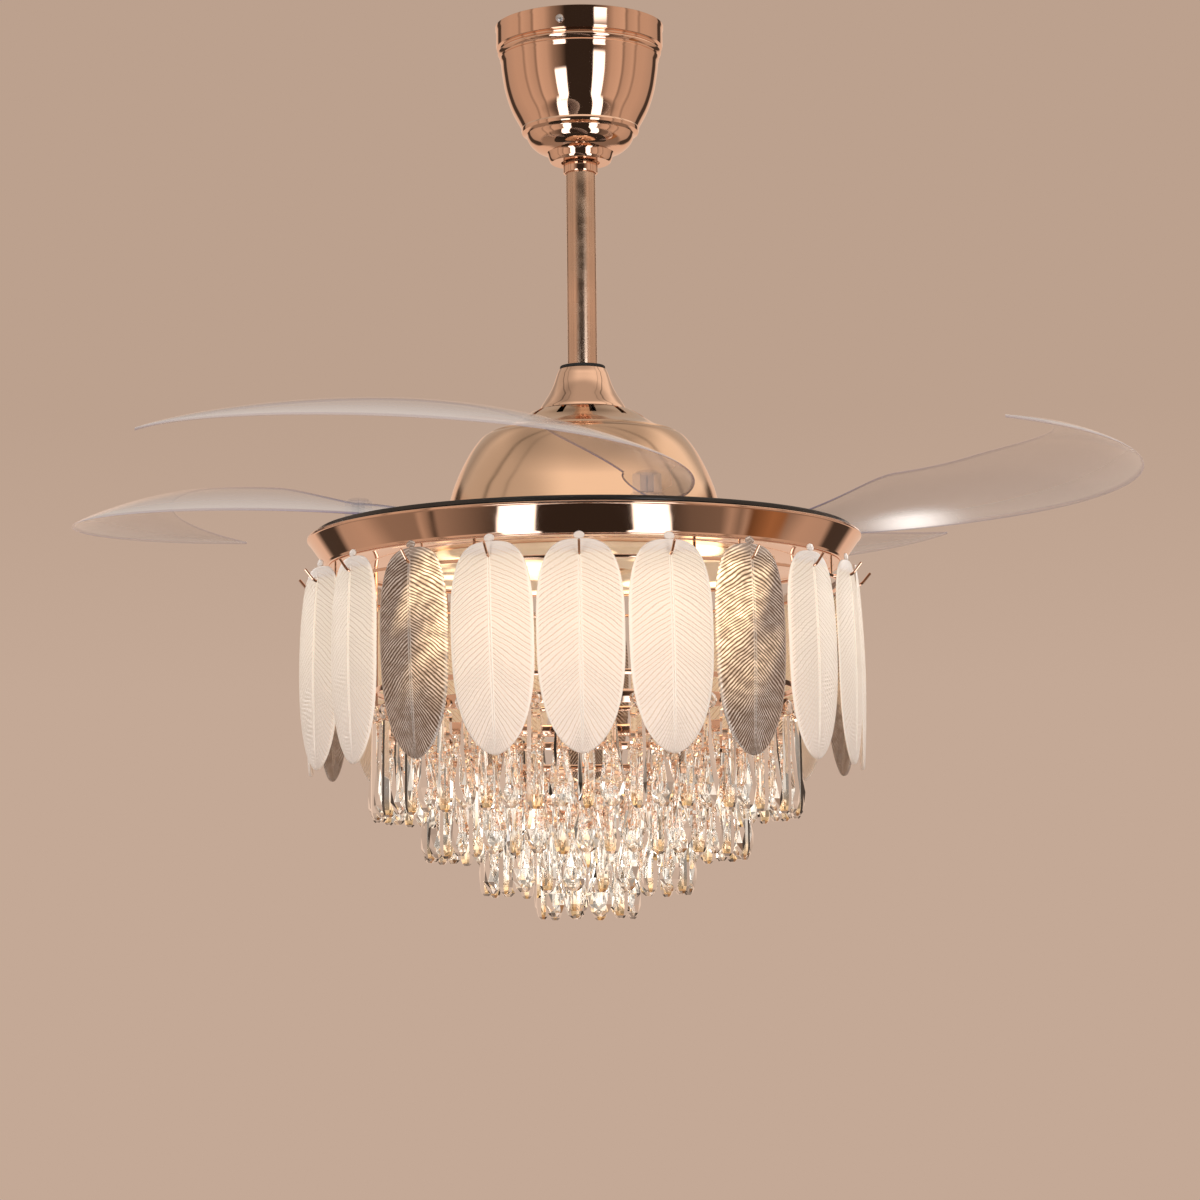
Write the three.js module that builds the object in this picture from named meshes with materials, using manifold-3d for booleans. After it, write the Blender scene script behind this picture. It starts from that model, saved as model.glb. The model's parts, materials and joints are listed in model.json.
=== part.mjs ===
// Ceiling fan with four folding blades above a two-part glass light kit.
// Millimetres, +Z up. The origin is the centre of the ceiling bracket's top face. The front faces -Y.
// Angles are degrees, counter-clockwise seen from above, from +X.

import * as THREE from 'three';
import { mergeVertices } from 'three/addons/utils/BufferGeometryUtils.js';
import Module from 'manifold-3d';

const wasm = await Module();
wasm.setup();

// ---------------------------------------------------------------- driving dimensions
const seat = 0.3;                 // gap left where one piece rests on another

// hanger and canopy
const bracketTurn = -103;         // the bracket's long axis, towards the front canopy screw
const bracketLength = 126, bracketWidth = 60, bracketSheet = 2.5;
const hangerLegSpan = 82, hangerLegWidth = 30;
const ballRadius = 27, ballCentreZ = -46, ballSeatRadius = 22.2, ballTopHeight = 14;
const canopyRadius = 80.6, canopyHeight = 133.8, canopyWall = 1.2, canopyHoleRadius = 18.5;
const canopyScrewZ = -14, canopyScrewRadius = 1.8;
const canopyTabInset = 4.2;       // canopy's outer face to the bracket tab's outer face

// rod, coupling cover and dome
const rodRadius = 14, rodBore = 12, rodTopZ = -20, rodVisible = 197.2;
const collarRadius = 16.6, collarHeight = 9.5, collarGap = 1;
const pinRadius = 2.5, shaftRadius = 9, shaftBore = 5;
const rodIntoCover = 19, yokeIntoCover = 10, yokeRadius = 19.5, yokeFlange = 3;
const gasketRadius = 21.5, gasketHeight = 3.3;
const coverHeight = 39.2, coverTopRadius = 22.5, coverFlareRadius = 41, coverWall = 1.6;
const domeRadius = 131, domeHeight = 115, domeWall = 1.4;
const domeHole = 20;
const ventCount = 12, ventWidth = 5, ventTurn = 9, ventInner = 46, ventOuter = 61, ventDepth = 30;

// motor and blade carrier
const rotorRadius = 75, rotorWall = 3, rotorInset = 30, magnetAir = 5, statorTeeth = 12, statorCore = 40;
const bearingRadius = 17, bearingHeight = 8, bearingHub = 4, statorAir = 4, rotorHoleAir = 3;
const carrierRadius = 253, carrierThickness = 4.5, carrierHubHeight = 12.2, carrierHole = 45;
const runningGap = 1.5;

// blades: one crescent, drawn folded and then turned out about its pivot
const bladeCount = 4, firstBladeAngle = -75, bladeOpenAngle = 86;
const pivotRadius = 217, pivotPinRadius = 6, pivotFootRadius = 15, pivotCapRadius = 10, pivotCapHeight = 2.7;
const bladeSweep = 166, bladeHead = 14, bladeTaperStart = 0.38, bladeTaperPower = 1.8;
const bladeInner = 133, bladeOuter = 254, bladeTip = 246, bladeNeck = 0.45, bladeNeckEnd = 30;
const bladeThickness = 3, bladeRise = 19, bladePitch = 17, bladeLift = 7;
const bladeHubRadius = 13, bladeHubHeight = 17.5, bladeHubRise = 5.8;

// light drum
const bandTopRadius = 261, bandBottomRadius = 244, bandHeight = 26.5, bandWall = 1.5;
const plateThickness = 2, plateLift = 1.5, plateHubRadius = 24, plateHubHeight = 14;
const nutRadius = 15, nutHeight = 7.7, shaftThread = 11;
const panelInner = 45, panelOuter = 180, panelHeight = 7.2;
const driverSize = [110, 64, 15], driverX = 110;

// glass feathers and their hooks
const featherCount = 20, featherWidth = 78.4, featherLength = 195, featherThickness = 5.2, featherBow = 4;
const featherHoleDrop = 20.4;     // the hook hole's centre below the feather's top
const featherHoleRadius = 2.3, hookRadius = 1.2, hookRise = 11, hookReach = 9;
const hookZDrop = 20;             // the hooks' height below the band's lower edge
const firstFeatherAngle = -91;
const featherGap = 13;            // the feather's mid-surface at the hook, outside the hook ring
const hookRingWidth = 3;

// crystal tiers: ring radius, the drop of its lower edge below the band, and its crystals
const tiers = [
  { radius: 197, drop: 145, count: 54 },
  { radius: 148, drop: 183.1, count: 42 },
  { radius: 95, drop: 215.5, count: 24 },
  { radius: 43.4, drop: 237.4, count: 12 },
];
const ringWall = 2.4, ringHeight = 7, firstRingHeight = 12, upperRingHeight = 5, upperRingRise = 25;
const ribCount = 6, ribWidth = 3.6, ribThickness = 2.4;
const crystalLength = 92, crystalWidth = 17, crystalDepth = 11, wireRadius = 1.2;

// ---------------------------------------------------------------- heights worked out from them
const canopyBottomZ = -canopyHeight;
const gasketTopZ = canopyBottomZ - rodVisible;
const coverTopZ = gasketTopZ - gasketHeight - seat;
const coverBottomZ = coverTopZ - coverHeight;
const domeTopZ = coverBottomZ - 2 * seat;
const domeBottomZ = domeTopZ - domeHeight;
const carrierTopZ = domeBottomZ - runningGap;
const carrierBottomZ = carrierTopZ - carrierThickness;
const rotorTopZ = domeTopZ - rotorInset;
const rotorBottomZ = carrierTopZ + carrierHubHeight;
const bandTopZ = carrierBottomZ - runningGap;
const bandBottomZ = bandTopZ - bandHeight;
const plateBottomZ = bandBottomZ + plateLift;
const plateTopZ = plateBottomZ + plateThickness;
const hookZ = bandBottomZ - hookZDrop;
const hookRingRadius = bandBottomRadius - 1;
const featherRadius = hookRingRadius + featherGap;
const rodBottomZ = coverTopZ - rodIntoCover;
const yokeTopZ = coverTopZ - yokeIntoCover;
const yokePinZ = (yokeTopZ + rodBottomZ) / 2;
const shaftTopZ = rodBottomZ - seat;
const shaftBottomZ = plateBottomZ - shaftThread;

// ---------------------------------------------------------------- materials
const finish = (color, roughness, metalness, extra = {}) =>
  new THREE.MeshStandardMaterial({ color, roughness, metalness, ...extra });
const roseGold = finish(0xc8906c, 0.12, 1);
const satinGold = finish(0xd09a72, 0.35, 1);
const steel = finish(0xa8aaad, 0.4, 1);
const blackPlastic = finish(0x141313, 0.3, 0);
const blackRubber = finish(0x101010, 0.7, 0);
const greyPlastic = finish(0x3c3c40, 0.55, 0);
const copper = finish(0xa55a32, 0.45, 0.8);
const opal = finish(0xfff0d8, 0.5, 0, { emissive: 0xffd9a0 });
const clearPlastic = finish(0xe6e6f2, 0.05, 0, { transparent: true, opacity: 0.35 });
const crystal = finish(0xf4f2ee, 0.02, 0, { transparent: true, opacity: 0.5 });
const whiteGlass = finish(0xf2e6da, 0.3, 0, { transparent: true, opacity: 0.85 });
const smokeGlass = finish(0x8a7466, 0.2, 0.1, { transparent: true, opacity: 0.85 });

// ---------------------------------------------------------------- solids from three.js geometry
const radians = THREE.MathUtils.degToRad;

// A closed solid from a geometry: positions only, shared corners merged, collapsed faces dropped, facing out.
function solidOf(geometry) {
  const bare = new THREE.BufferGeometry();
  bare.setAttribute('position', geometry.getAttribute('position'));
  bare.setIndex(geometry.getIndex());
  const merged = mergeVertices(bare, 1e-4);
  const index = merged.getIndex().array;
  const kept = [];
  for (let i = 0; i < index.length; i += 3) {
    const [a, b, c] = index.slice(i, i + 3);
    if (a !== b && b !== c && c !== a) kept.push(a, b, c);
  }
  const build = (corners) => new wasm.Manifold(new wasm.Mesh({
    numProp: 3,
    vertProperties: Float32Array.from(merged.getAttribute('position').array),
    triVerts: Uint32Array.from(corners),
  }));
  const solid = build(kept);
  return solid.volume() < 0 ? build(kept.reverse()) : solid;
}

function meshOf(name, solid, material) {
  const { vertProperties, triVerts } = solid.getMesh();
  const geometry = new THREE.BufferGeometry();
  geometry.setAttribute('position', new THREE.BufferAttribute(vertProperties, 3));
  geometry.setIndex(new THREE.BufferAttribute(triVerts, 1));
  geometry.computeVertexNormals();
  const mesh = new THREE.Mesh(geometry, material);
  mesh.name = name;
  return mesh;
}

const joined = (solids) => solids.reduce((whole, piece) => whole.add(piece));
const cut = (solid, tools) => tools.reduce((rest, tool) => rest.subtract(tool), solid);

// A ring or disc turned about Z. The profile is a list of [radius, z] and closes on itself.
function turned(profile, segments = 28) {
  const points = [...profile, profile[0]].map(([r, z]) => new THREE.Vector2(r, z));
  return solidOf(new THREE.LatheGeometry(points, segments).rotateX(Math.PI / 2));
}

const ring = (inner, outer, top, bottom, segments) =>
  turned([[inner, top], [outer, top], [outer, bottom], [inner, bottom]], segments);

const block = (x, y, z, cx, cy, cz) => solidOf(new THREE.BoxGeometry(x, y, z).translate(cx, cy, cz));

// A round bar between two points.
function bar(start, end, radius, sides = 12) {
  const a = new THREE.Vector3(...start);
  const along = new THREE.Vector3(...end).sub(a);
  const geometry = new THREE.CylinderGeometry(radius, radius, along.length(), sides);
  const up = new THREE.Vector3(0, 1, 0);
  const turn = new THREE.Quaternion().setFromUnitVectors(up, along.clone().normalize());
  geometry.applyQuaternion(turn).translate(...a.addScaledVector(along, 0.5).toArray());
  return solidOf(geometry);
}

// A closed skin over rows of points: each row is a loop of the same length, and the end rows are capped flat.
function lofted(rows) {
  const size = rows[0].length;
  const positions = rows.flat(2);
  const index = [];
  for (let row = 0; row + 1 < rows.length; row += 1) {
    for (let i = 0; i < size; i += 1) {
      const a = row * size + i, b = row * size + ((i + 1) % size);
      index.push(a, b, b + size, a, b + size, a + size);
    }
  }
  const last = (rows.length - 1) * size;
  for (let i = 1; i + 1 < size; i += 1) {
    index.push(0, i + 1, i, last, last + i, last + i + 1);
  }
  const geometry = new THREE.BufferGeometry();
  geometry.setAttribute('position', new THREE.Float32BufferAttribute(positions, 3));
  geometry.setIndex(index);
  return solidOf(geometry);
}

// The same solid turned about Z.
function turnedBy(solid, degrees) {
  const { vertProperties, triVerts } = solid.getMesh();
  const geometry = new THREE.BufferGeometry();
  geometry.setAttribute('position', new THREE.BufferAttribute(vertProperties, 3));
  geometry.setIndex(new THREE.BufferAttribute(triVerts, 1));
  return solidOf(geometry.rotateZ(radians(degrees)));
}

// ---------------------------------------------------------------- outlines, as shares of a piece's own size
const canopyOutline = [
  [1, 0.004], [0.993, 0.146], [0.94, 0.2], [0.929, 0.224], [0.924, 0.26], [0.897, 0.359], [0.849, 0.486],
  [0.78, 0.616], [0.691, 0.744], [0.681, 0.785], [0.644, 0.799], [0.579, 0.872], [0.509, 0.907],
  [0.413, 0.934], [0.355, 0.979], [0.355, 1],
];
const domeOutline = [
  [0.313, 0], [0.371, 0.013], [0.48, 0.091], [0.611, 0.174], [0.683, 0.198], [0.742, 0.233], [0.815, 0.348],
  [0.885, 0.496], [0.939, 0.644], [0.96, 0.713], [0.99, 0.88], [1, 1],
];
const coverOutline = [[0, 0], [0.124, 0.158], [0.378, 0.477], [0.784, 0.783], [1, 1]];

// A thin shell inside an outline, scaled towards the axis and its open end.
function shellProfile(outline, radius, openZ, farZ, wall, holeRadius) {
  const height = Math.abs(farZ - openZ);
  const place = ([r, share], rScale, zScale) => [
    r * radius * rScale, openZ + (farZ - openZ) * share * zScale,
  ];
  const outer = outline.map((point) => place(point, 1, 1));
  const inside = outline.filter((point, i) => i % 3 === 0 || i === 1 || i === outline.length - 1);
  const inner = inside.map((point) => place(point, 1 - wall / radius, 1 - wall / height));
  return [...outer, [holeRadius, farZ], [holeRadius, inner.at(-1)[1]], ...inner.reverse()];
}

// ---------------------------------------------------------------- hanger and canopy
function hangerParts() {
  const tabOuter = canopyRadius - canopyTabInset;
  const legX = hangerLegSpan / 2 - bracketSheet / 2;
  const seatDrop = Math.sqrt(ballRadius ** 2 - ballSeatRadius ** 2) + seat;
  const seatZ = ballCentreZ - seatDrop - bracketSheet / 2;
  const legHeight = -seatZ + bracketSheet / 2;
  const tabDepth = 19, tabWidth = 20, wireHole = 8, wireHoleX = 24, receiver = [70, 36, 21], receiverY = 38;
  const screwEnd = tabOuter - 8, screwHead = 4, rimX = canopyRadius + seat;
  const pieces = [
    block(bracketLength, bracketWidth, bracketSheet, 0, 0, -bracketSheet / 2),
    block(2 * tabOuter, tabWidth, bracketSheet, 0, 0, -bracketSheet / 2),
    block(hangerLegSpan, 2 * ballSeatRadius + 8, bracketSheet, 0, 0, seatZ),
  ];
  const screws = [], screwHoles = [], canopyHoles = [];
  for (const side of [-1, 1]) {
    pieces.push(block(bracketSheet, hangerLegWidth, legHeight, side * legX, 0, -legHeight / 2));
    const tabX = side * (tabOuter - bracketSheet / 2);
    pieces.push(block(bracketSheet, tabWidth, tabDepth, tabX, 0, -tabDepth / 2));
    const along = (x) => [side * x, 0, canopyScrewZ];
    screws.push(bar(along(screwEnd), along(rimX + 1), canopyScrewRadius)
      .add(bar(along(rimX), along(rimX + 2.7), screwHead)));
    screwHoles.push(bar(along(screwEnd), along(rimX), canopyScrewRadius + seat));
    canopyHoles.push(bar(along(screwEnd), along(rimX + 2), canopyScrewRadius + 2 * seat));
  }
  const bracket = cut(joined(pieces), [
    ...[-wireHoleX, wireHoleX].map((x) => bar([x, 0, 1], [x, 0, -bracketSheet - 1], wireHole, 16)),
    ring(0, ballSeatRadius, seatZ + 3, seatZ - 3, 36),
    ...screwHoles,
  ]);
  const bowl = shellProfile(canopyOutline, canopyRadius, 0, canopyBottomZ, canopyWall, canopyHoleRadius);
  const canopy = cut(turned(bowl), canopyHoles);
  const receiverBox = block(...receiver, 0, receiverY, -bracketSheet - seat - receiver[2] / 2);
  const group = new THREE.Group();
  group.rotation.z = radians(bracketTurn);
  group.add(
    meshOf('hanger_bracket', bracket, steel),
    meshOf('canopy', canopy, roseGold),
    meshOf('canopy_screw_1', screws[0], steel),
    meshOf('canopy_screw_2', screws[1], steel),
    meshOf('receiver_box', receiverBox, greyPlastic),
  );
  return group;
}

// ---------------------------------------------------------------- ball, rod and coupling
function rodParts() {
  const ballBore = rodRadius + seat;
  const arcSteps = 6;
  const low = -Math.acos(ballBore / ballRadius), high = Math.asin(ballTopHeight / ballRadius);
  const ballProfile = [[ballBore, ballCentreZ + ballTopHeight]];
  for (let i = 0; i <= arcSteps; i += 1) {
    const angle = high + (low - high) * (i / arcSteps);
    ballProfile.push([ballRadius * Math.cos(angle), ballCentreZ + ballRadius * Math.sin(angle)]);
  }
  const crossPinZ = ballCentreZ + ballTopHeight + seat + pinRadius;
  const acrossRod = (half, z) => [[-half, 0, z], [half, 0, z]];
  const crossPin = acrossRod(ballRadius - 5, crossPinZ), yokePin = acrossRod(yokeRadius + 1.5, yokePinZ);
  const flangeRadius = coverFlareRadius - 5, bore = shaftRadius + seat, sleeve = rodRadius + seat;
  const yokeBottomZ = coverBottomZ - seat;
  const rod = cut(ring(rodBore, rodRadius, rodTopZ, rodBottomZ, 24), [
    bar(...crossPin, pinRadius + seat), bar(...yokePin, pinRadius + seat),
  ]);
  const yoke = cut(turned([
    [sleeve, yokeTopZ], [yokeRadius, yokeTopZ], [yokeRadius, yokeBottomZ + yokeFlange],
    [flangeRadius, yokeBottomZ + yokeFlange], [flangeRadius, yokeBottomZ],
    [bore, yokeBottomZ], [bore, rodBottomZ - seat], [sleeve, rodBottomZ - seat],
  ], 24), [bar(...yokePin, pinRadius + seat)]);
  const coverAt = ([r, z], inset) =>
    [coverTopRadius + (coverFlareRadius - coverTopRadius) * r - inset, coverTopZ - coverHeight * z];
  const coverBore = rodRadius + 2 * seat;
  const cover = turned([
    [coverBore, coverTopZ], ...coverOutline.map((p) => coverAt(p, 0)),
    ...coverOutline.slice(1).reverse().map((p) => coverAt(p, coverWall)),
    [coverTopRadius - coverWall, coverTopZ - coverWall], [coverBore, coverTopZ - coverWall],
  ]);
  const collarTop = canopyBottomZ - collarGap;
  return [
    meshOf('hanger_ball', turned(ballProfile, 24), greyPlastic),
    meshOf('ball_pin', bar(...crossPin, pinRadius), steel),
    meshOf('downrod', rod, roseGold),
    meshOf('rod_collar', ring(sleeve, collarRadius, collarTop, collarTop - collarHeight, 24), roseGold),
    meshOf(
      'cover_gasket', ring(sleeve, gasketRadius, gasketTopZ, gasketTopZ - gasketHeight, 24), blackRubber,
    ),
    meshOf('coupling_cover', cover, roseGold),
    meshOf('yoke', yoke, steel),
    meshOf('yoke_pin', bar(...yokePin, pinRadius), steel),
  ];
}

// ---------------------------------------------------------------- dome and motor
function domeCover() {
  const openUp = domeOutline.map(([r, share]) => [r, 1 - share]).reverse();
  const profile = shellProfile(openUp, domeRadius, domeBottomZ, domeTopZ, domeWall, domeHole);
  const tools = [];
  for (let i = 0; i < ventCount; i += 1) {
    const angle = ventTurn + i * 360 / ventCount;
    const slot = block(ventOuter - ventInner, ventWidth, ventDepth, (ventOuter + ventInner) / 2, 0, domeTopZ);
    tools.push(turnedBy(slot, angle));
  }
  return cut(turned(profile, 32), tools);
}

function stator(top, bottom) {
  const reach = rotorRadius - rotorWall - magnetAir, neck = 0.5, face = 0.86;
  const tooth = [
    [statorCore, -1], [statorCore, -neck], [reach, -face], [reach, 0], [reach, face], [statorCore, neck],
  ];
  const outline = new THREE.Shape();
  for (let i = 0; i < statorTeeth; i += 1) {
    const half = Math.PI / statorTeeth;
    for (const [r, share] of tooth) {
      const angle = 2 * half * i + half * share;
      const act = i === 0 && share === -1 ? 'moveTo' : 'lineTo';
      outline[act](r * Math.cos(angle), r * Math.sin(angle));
    }
  }
  outline.closePath();
  const geometry = new THREE.ExtrudeGeometry(outline, { depth: top - bottom, bevelEnabled: false });
  const shaftHole = ring(0, shaftRadius + seat, top + 1, bottom - 1, 24);
  return cut(solidOf(geometry.translate(0, 0, bottom)), [shaftHole]);
}

function motorParts() {
  const inner = rotorRadius - rotorWall, hub = bearingRadius + seat, hubOuter = hub + bearingHub;
  const bore = shaftRadius + rotorHoleAir;
  const baseZ = rotorBottomZ + seat, lower = baseZ + rotorWall, upper = rotorTopZ - rotorWall;
  const cup = turned([
    [bore, rotorTopZ], [rotorRadius, rotorTopZ], [rotorRadius, lower + seat], [inner, lower + seat],
    [inner, upper], [hubOuter, upper], [hubOuter, upper - bearingHeight],
    [hub, upper - bearingHeight], [hub, upper], [bore, upper],
  ]);
  const base = turned([
    [bore, lower], [hub, lower], [hub, lower + bearingHeight], [hubOuter, lower + bearingHeight],
    [hubOuter, lower], [rotorRadius, lower], [rotorRadius, baseZ], [bore, baseZ],
  ]);
  const bearing = (top) => ring(shaftRadius + seat, bearingRadius, top, top - bearingHeight + seat, 24);
  const statorTop = upper - bearingHeight - statorAir, statorBottom = lower + bearingHeight + statorAir;
  return {
    fixed: [
      meshOf('dome_cover', domeCover(), satinGold),
      meshOf('motor_shaft', ring(shaftBore, shaftRadius, shaftTopZ, shaftBottomZ, 24), steel),
      meshOf('stator', stator(statorTop, statorBottom), copper),
      meshOf('upper_bearing', bearing(upper - seat), steel),
      meshOf('lower_bearing', bearing(lower + bearingHeight), steel),
    ],
    turning: [meshOf('rotor_cup', cup, steel), meshOf('rotor_base', base, steel)],
  };
}

function bladeCarrier() {
  return turned([
    [carrierHole, rotorBottomZ], [rotorRadius, rotorBottomZ], [rotorRadius, carrierTopZ],
    [carrierRadius, carrierTopZ], [carrierRadius, carrierBottomZ], [carrierHole, carrierBottomZ],
  ], 40);
}

// ---------------------------------------------------------------- folding blades
const bladeZeroZ = carrierTopZ + bladeLift;
const bladeSlope = Math.tan(radians(bladePitch));
const pivotZ = bladeZeroZ + bladeSlope * (bladeOuter - pivotRadius);
const hubTopZ = pivotZ + bladeHubRise, hubBottomZ = hubTopZ - bladeHubHeight;

// The folded blade's inner and outer radius at an angle from its pivot.
function bladeEdges(angle) {
  const share = THREE.MathUtils.clamp(angle / bladeSweep, 0, 1);
  const past = Math.max(0, (share - bladeTaperStart) / (1 - bladeTaperStart));
  const taper = 1 - past ** bladeTaperPower;
  const head = Math.sqrt(Math.max(0, 1 - (Math.min(angle, 0) / bladeHead) ** 2));
  const pastHub = THREE.MathUtils.clamp(angle / bladeNeckEnd, 0, 1);
  const neck = bladeNeck + (1 - bladeNeck) * Math.sin(pastHub * Math.PI / 2);
  const inner = bladeTip - (bladeTip - bladeInner) * taper * neck * head;
  return [inner, bladeTip + (bladeOuter - bladeTip) * taper * head];
}

// A crescent that rises towards its tip and slopes down outwards, so that each folded blade nests over
// the next.
function blade() {
  const stations = 20, across = [0, 0.5, 1], rows = [];
  for (let i = 0; i <= stations; i += 1) {
    const angle = -bladeHead + (bladeSweep + bladeHead) * (i / stations);
    const [inner, outer] = bladeEdges(angle);
    const height = bladeZeroZ + bladeRise / 90 * Math.max(angle, 0);
    const point = (share, side) => {
      const r = inner + (outer - inner) * share;
      const z = height + bladeSlope * (bladeOuter - r) + side * bladeThickness / 2;
      return [r * Math.cos(radians(-angle)), r * Math.sin(radians(-angle)), z];
    };
    rows.push([...across.map((s) => point(s, 1)), ...across.toReversed().map((s) => point(s, -1))]);
  }
  const hubAxis = (z) => [pivotRadius, 0, z];
  const hub = bar(hubAxis(hubBottomZ), hubAxis(hubTopZ), bladeHubRadius, 12);
  return cut(lofted(rows).add(hub), [
    bar(hubAxis(hubBottomZ - 1), hubAxis(hubTopZ + 1), pivotPinRadius + seat, 12),
  ]);
}

function bladePivot() {
  const at = (z) => [pivotRadius, 0, z];
  return joined([
    bar(at(carrierTopZ + seat), at(hubBottomZ - seat), pivotFootRadius, 12),
    bar(at(carrierTopZ + 2), at(hubTopZ + 1), pivotPinRadius, 12),
    bar(at(hubTopZ + seat), at(hubTopZ + seat + pivotCapHeight), pivotCapRadius, 12),
  ]);
}

function bladeGroup(number) {
  const around = new THREE.Group();
  around.rotation.z = radians(firstBladeAngle - (number - 1) * 360 / bladeCount);
  const pivot = new THREE.Group();
  pivot.position.x = pivotRadius;
  pivot.rotation.z = radians(bladeOpenAngle);
  const crescent = meshOf(`blade_${number}`, blade(), clearPlastic);
  crescent.position.x = -pivotRadius;
  pivot.add(crescent);
  around.add(pivot, meshOf(`blade_pivot_${number}`, bladePivot(), clearPlastic));
  return around;
}

// ---------------------------------------------------------------- light drum
function drumParts() {
  const flare = (bandTopRadius - bandBottomRadius) / bandHeight;
  const bandAt = (z) => bandBottomRadius + flare * (z - bandBottomZ);
  const band = turned([
    [bandTopRadius - bandWall, bandTopZ], [bandTopRadius, bandTopZ],
    [bandBottomRadius, bandBottomZ], [bandBottomRadius - bandWall, bandBottomZ],
  ], 40);
  const plateRadius = bandAt(plateBottomZ) - bandWall - seat;
  const hubTop = plateTopZ + plateHubHeight, bore = shaftRadius + seat;
  const plate = turned([
    [bore, hubTop], [plateHubRadius, hubTop], [plateHubRadius, plateTopZ], [plateRadius, plateTopZ],
    [plateRadius, plateBottomZ], [bore, plateBottomZ],
  ], 40);
  const nutTop = plateBottomZ - seat, hexagon = 6;
  const nut = ring(0, nutRadius, nutTop, nutTop - nutHeight, hexagon);
  const driver = block(...driverSize, driverX, 0, plateTopZ + seat + driverSize[2] / 2);
  const panelTop = plateBottomZ - seat;
  return [
    meshOf('drum_band', band, roseGold),
    meshOf('lamp_plate', plate, roseGold),
    meshOf('shaft_nut', cut(nut, [ring(0, bore, plateTopZ, shaftBottomZ - 1, 24)]), steel),
    meshOf('driver_box', driver, greyPlastic),
    meshOf('light_panel', ring(panelInner, panelOuter, panelTop, panelTop - panelHeight, 32), opal),
  ];
}

// ---------------------------------------------------------------- glass feathers and their hook ring
const featherAngle = (number) => firstFeatherAngle + (number - 1) * 360 / featherCount;
const featherTopZ = hookZ + featherHoleDrop;
// The share of the width at a share of the length: a narrow nub, full round shoulders down to the widest
// place, and a long taper to the tip.
function featherWidthAt(share) {
  const nub = 0.09, nubEnd = 0.035, widest = 0.4;
  if (share < nubEnd) return nub;
  const u = (share - nubEnd) / (1 - nubEnd), below = Math.max(0, u - widest) / (1 - widest);
  const shoulder = (1 - Math.max(0, 1 - u / widest) ** 2.6) ** 0.303;
  return Math.max(nub, u < widest ? shoulder : (1 - below ** 2.5) ** 0.66);
}
// A bowed leaf whose lean puts its weight straight below the hook, so that it hangs plumb.
const holeShare = featherHoleDrop / featherLength;
const meanBow = 0.702, meanDepth = featherLength * (0.483 - holeShare);
const featherLean = featherBow * (meanBow - Math.sin(Math.PI * holeShare)) / meanDepth;
function featherRadiusAt(z) {
  const share = (featherTopZ - z) / featherLength;
  return featherRadius + featherBow * (Math.sin(Math.PI * share) - Math.sin(Math.PI * holeShare))
    - featherLean * (hookZ - z);
}

function feather() {
  const shares = [0, 0.035, 0.06, 0.15, 0.36, 0.6, 0.8, 0.93, 1];
  const rows = shares.map((share) => {
    const z = featherTopZ - share * featherLength, r = featherRadiusAt(z);
    const half = featherWidth / 2 * featherWidthAt(share), thick = featherThickness / 2;
    return [[r, -half, z], [r + thick, 0, z], [r, half, z], [r - thick, 0, z]];
  });
  return cut(lofted(rows), [
    bar([featherRadius - 9, 0, hookZ], [featherRadius + 9, 0, hookZ], featherHoleRadius, 6),
  ]);
}

function featherGroup(number) {
  const group = new THREE.Group();
  group.rotation.z = radians(featherAngle(number));
  const isSmoke = number % 4 === 3;
  const name = `feather_${String(number).padStart(2, '0')}`;
  group.add(meshOf(name, feather(), isSmoke ? smokeGlass : whiteGlass));
  return group;
}

function featherFrame() {
  const flangeTop = plateBottomZ - seat, inner = hookRingRadius - hookRingWidth, struts = featherCount / 2;
  const bend = featherRadius + featherThickness / 2 + hookRadius;
  const pieces = [
    ring(inner - 5, bandBottomRadius - bandWall - 1.5, flangeTop, flangeTop - 2, featherCount),
    ring(inner, hookRingRadius, hookZ + hookRingWidth / 2, hookZ - hookRingWidth / 2, featherCount),
  ];
  for (let i = 0; i < struts; i += 1) {
    const height = flangeTop - hookZ;
    const strut = block(2, 3, height, inner + 1, 0, flangeTop - height / 2);
    pieces.push(turnedBy(strut, featherAngle(1 + 2 * i)));
  }
  for (let number = 1; number <= featherCount; number += 1) {
    const hook = bar([inner + 1, 0, hookZ], [bend, 0, hookZ], hookRadius, 4)
      .add(bar([bend - 0.6, 0, hookZ - 0.7], [bend + hookReach, 0, hookZ + hookRise], hookRadius, 4));
    pieces.push(turnedBy(hook, featherAngle(number)));
  }
  return meshOf('feather_frame', joined(pieces), roseGold);
}

// ---------------------------------------------------------------- crystal tiers
const tierBottomZ = (tier) => bandBottomZ - tier.drop;

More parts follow.
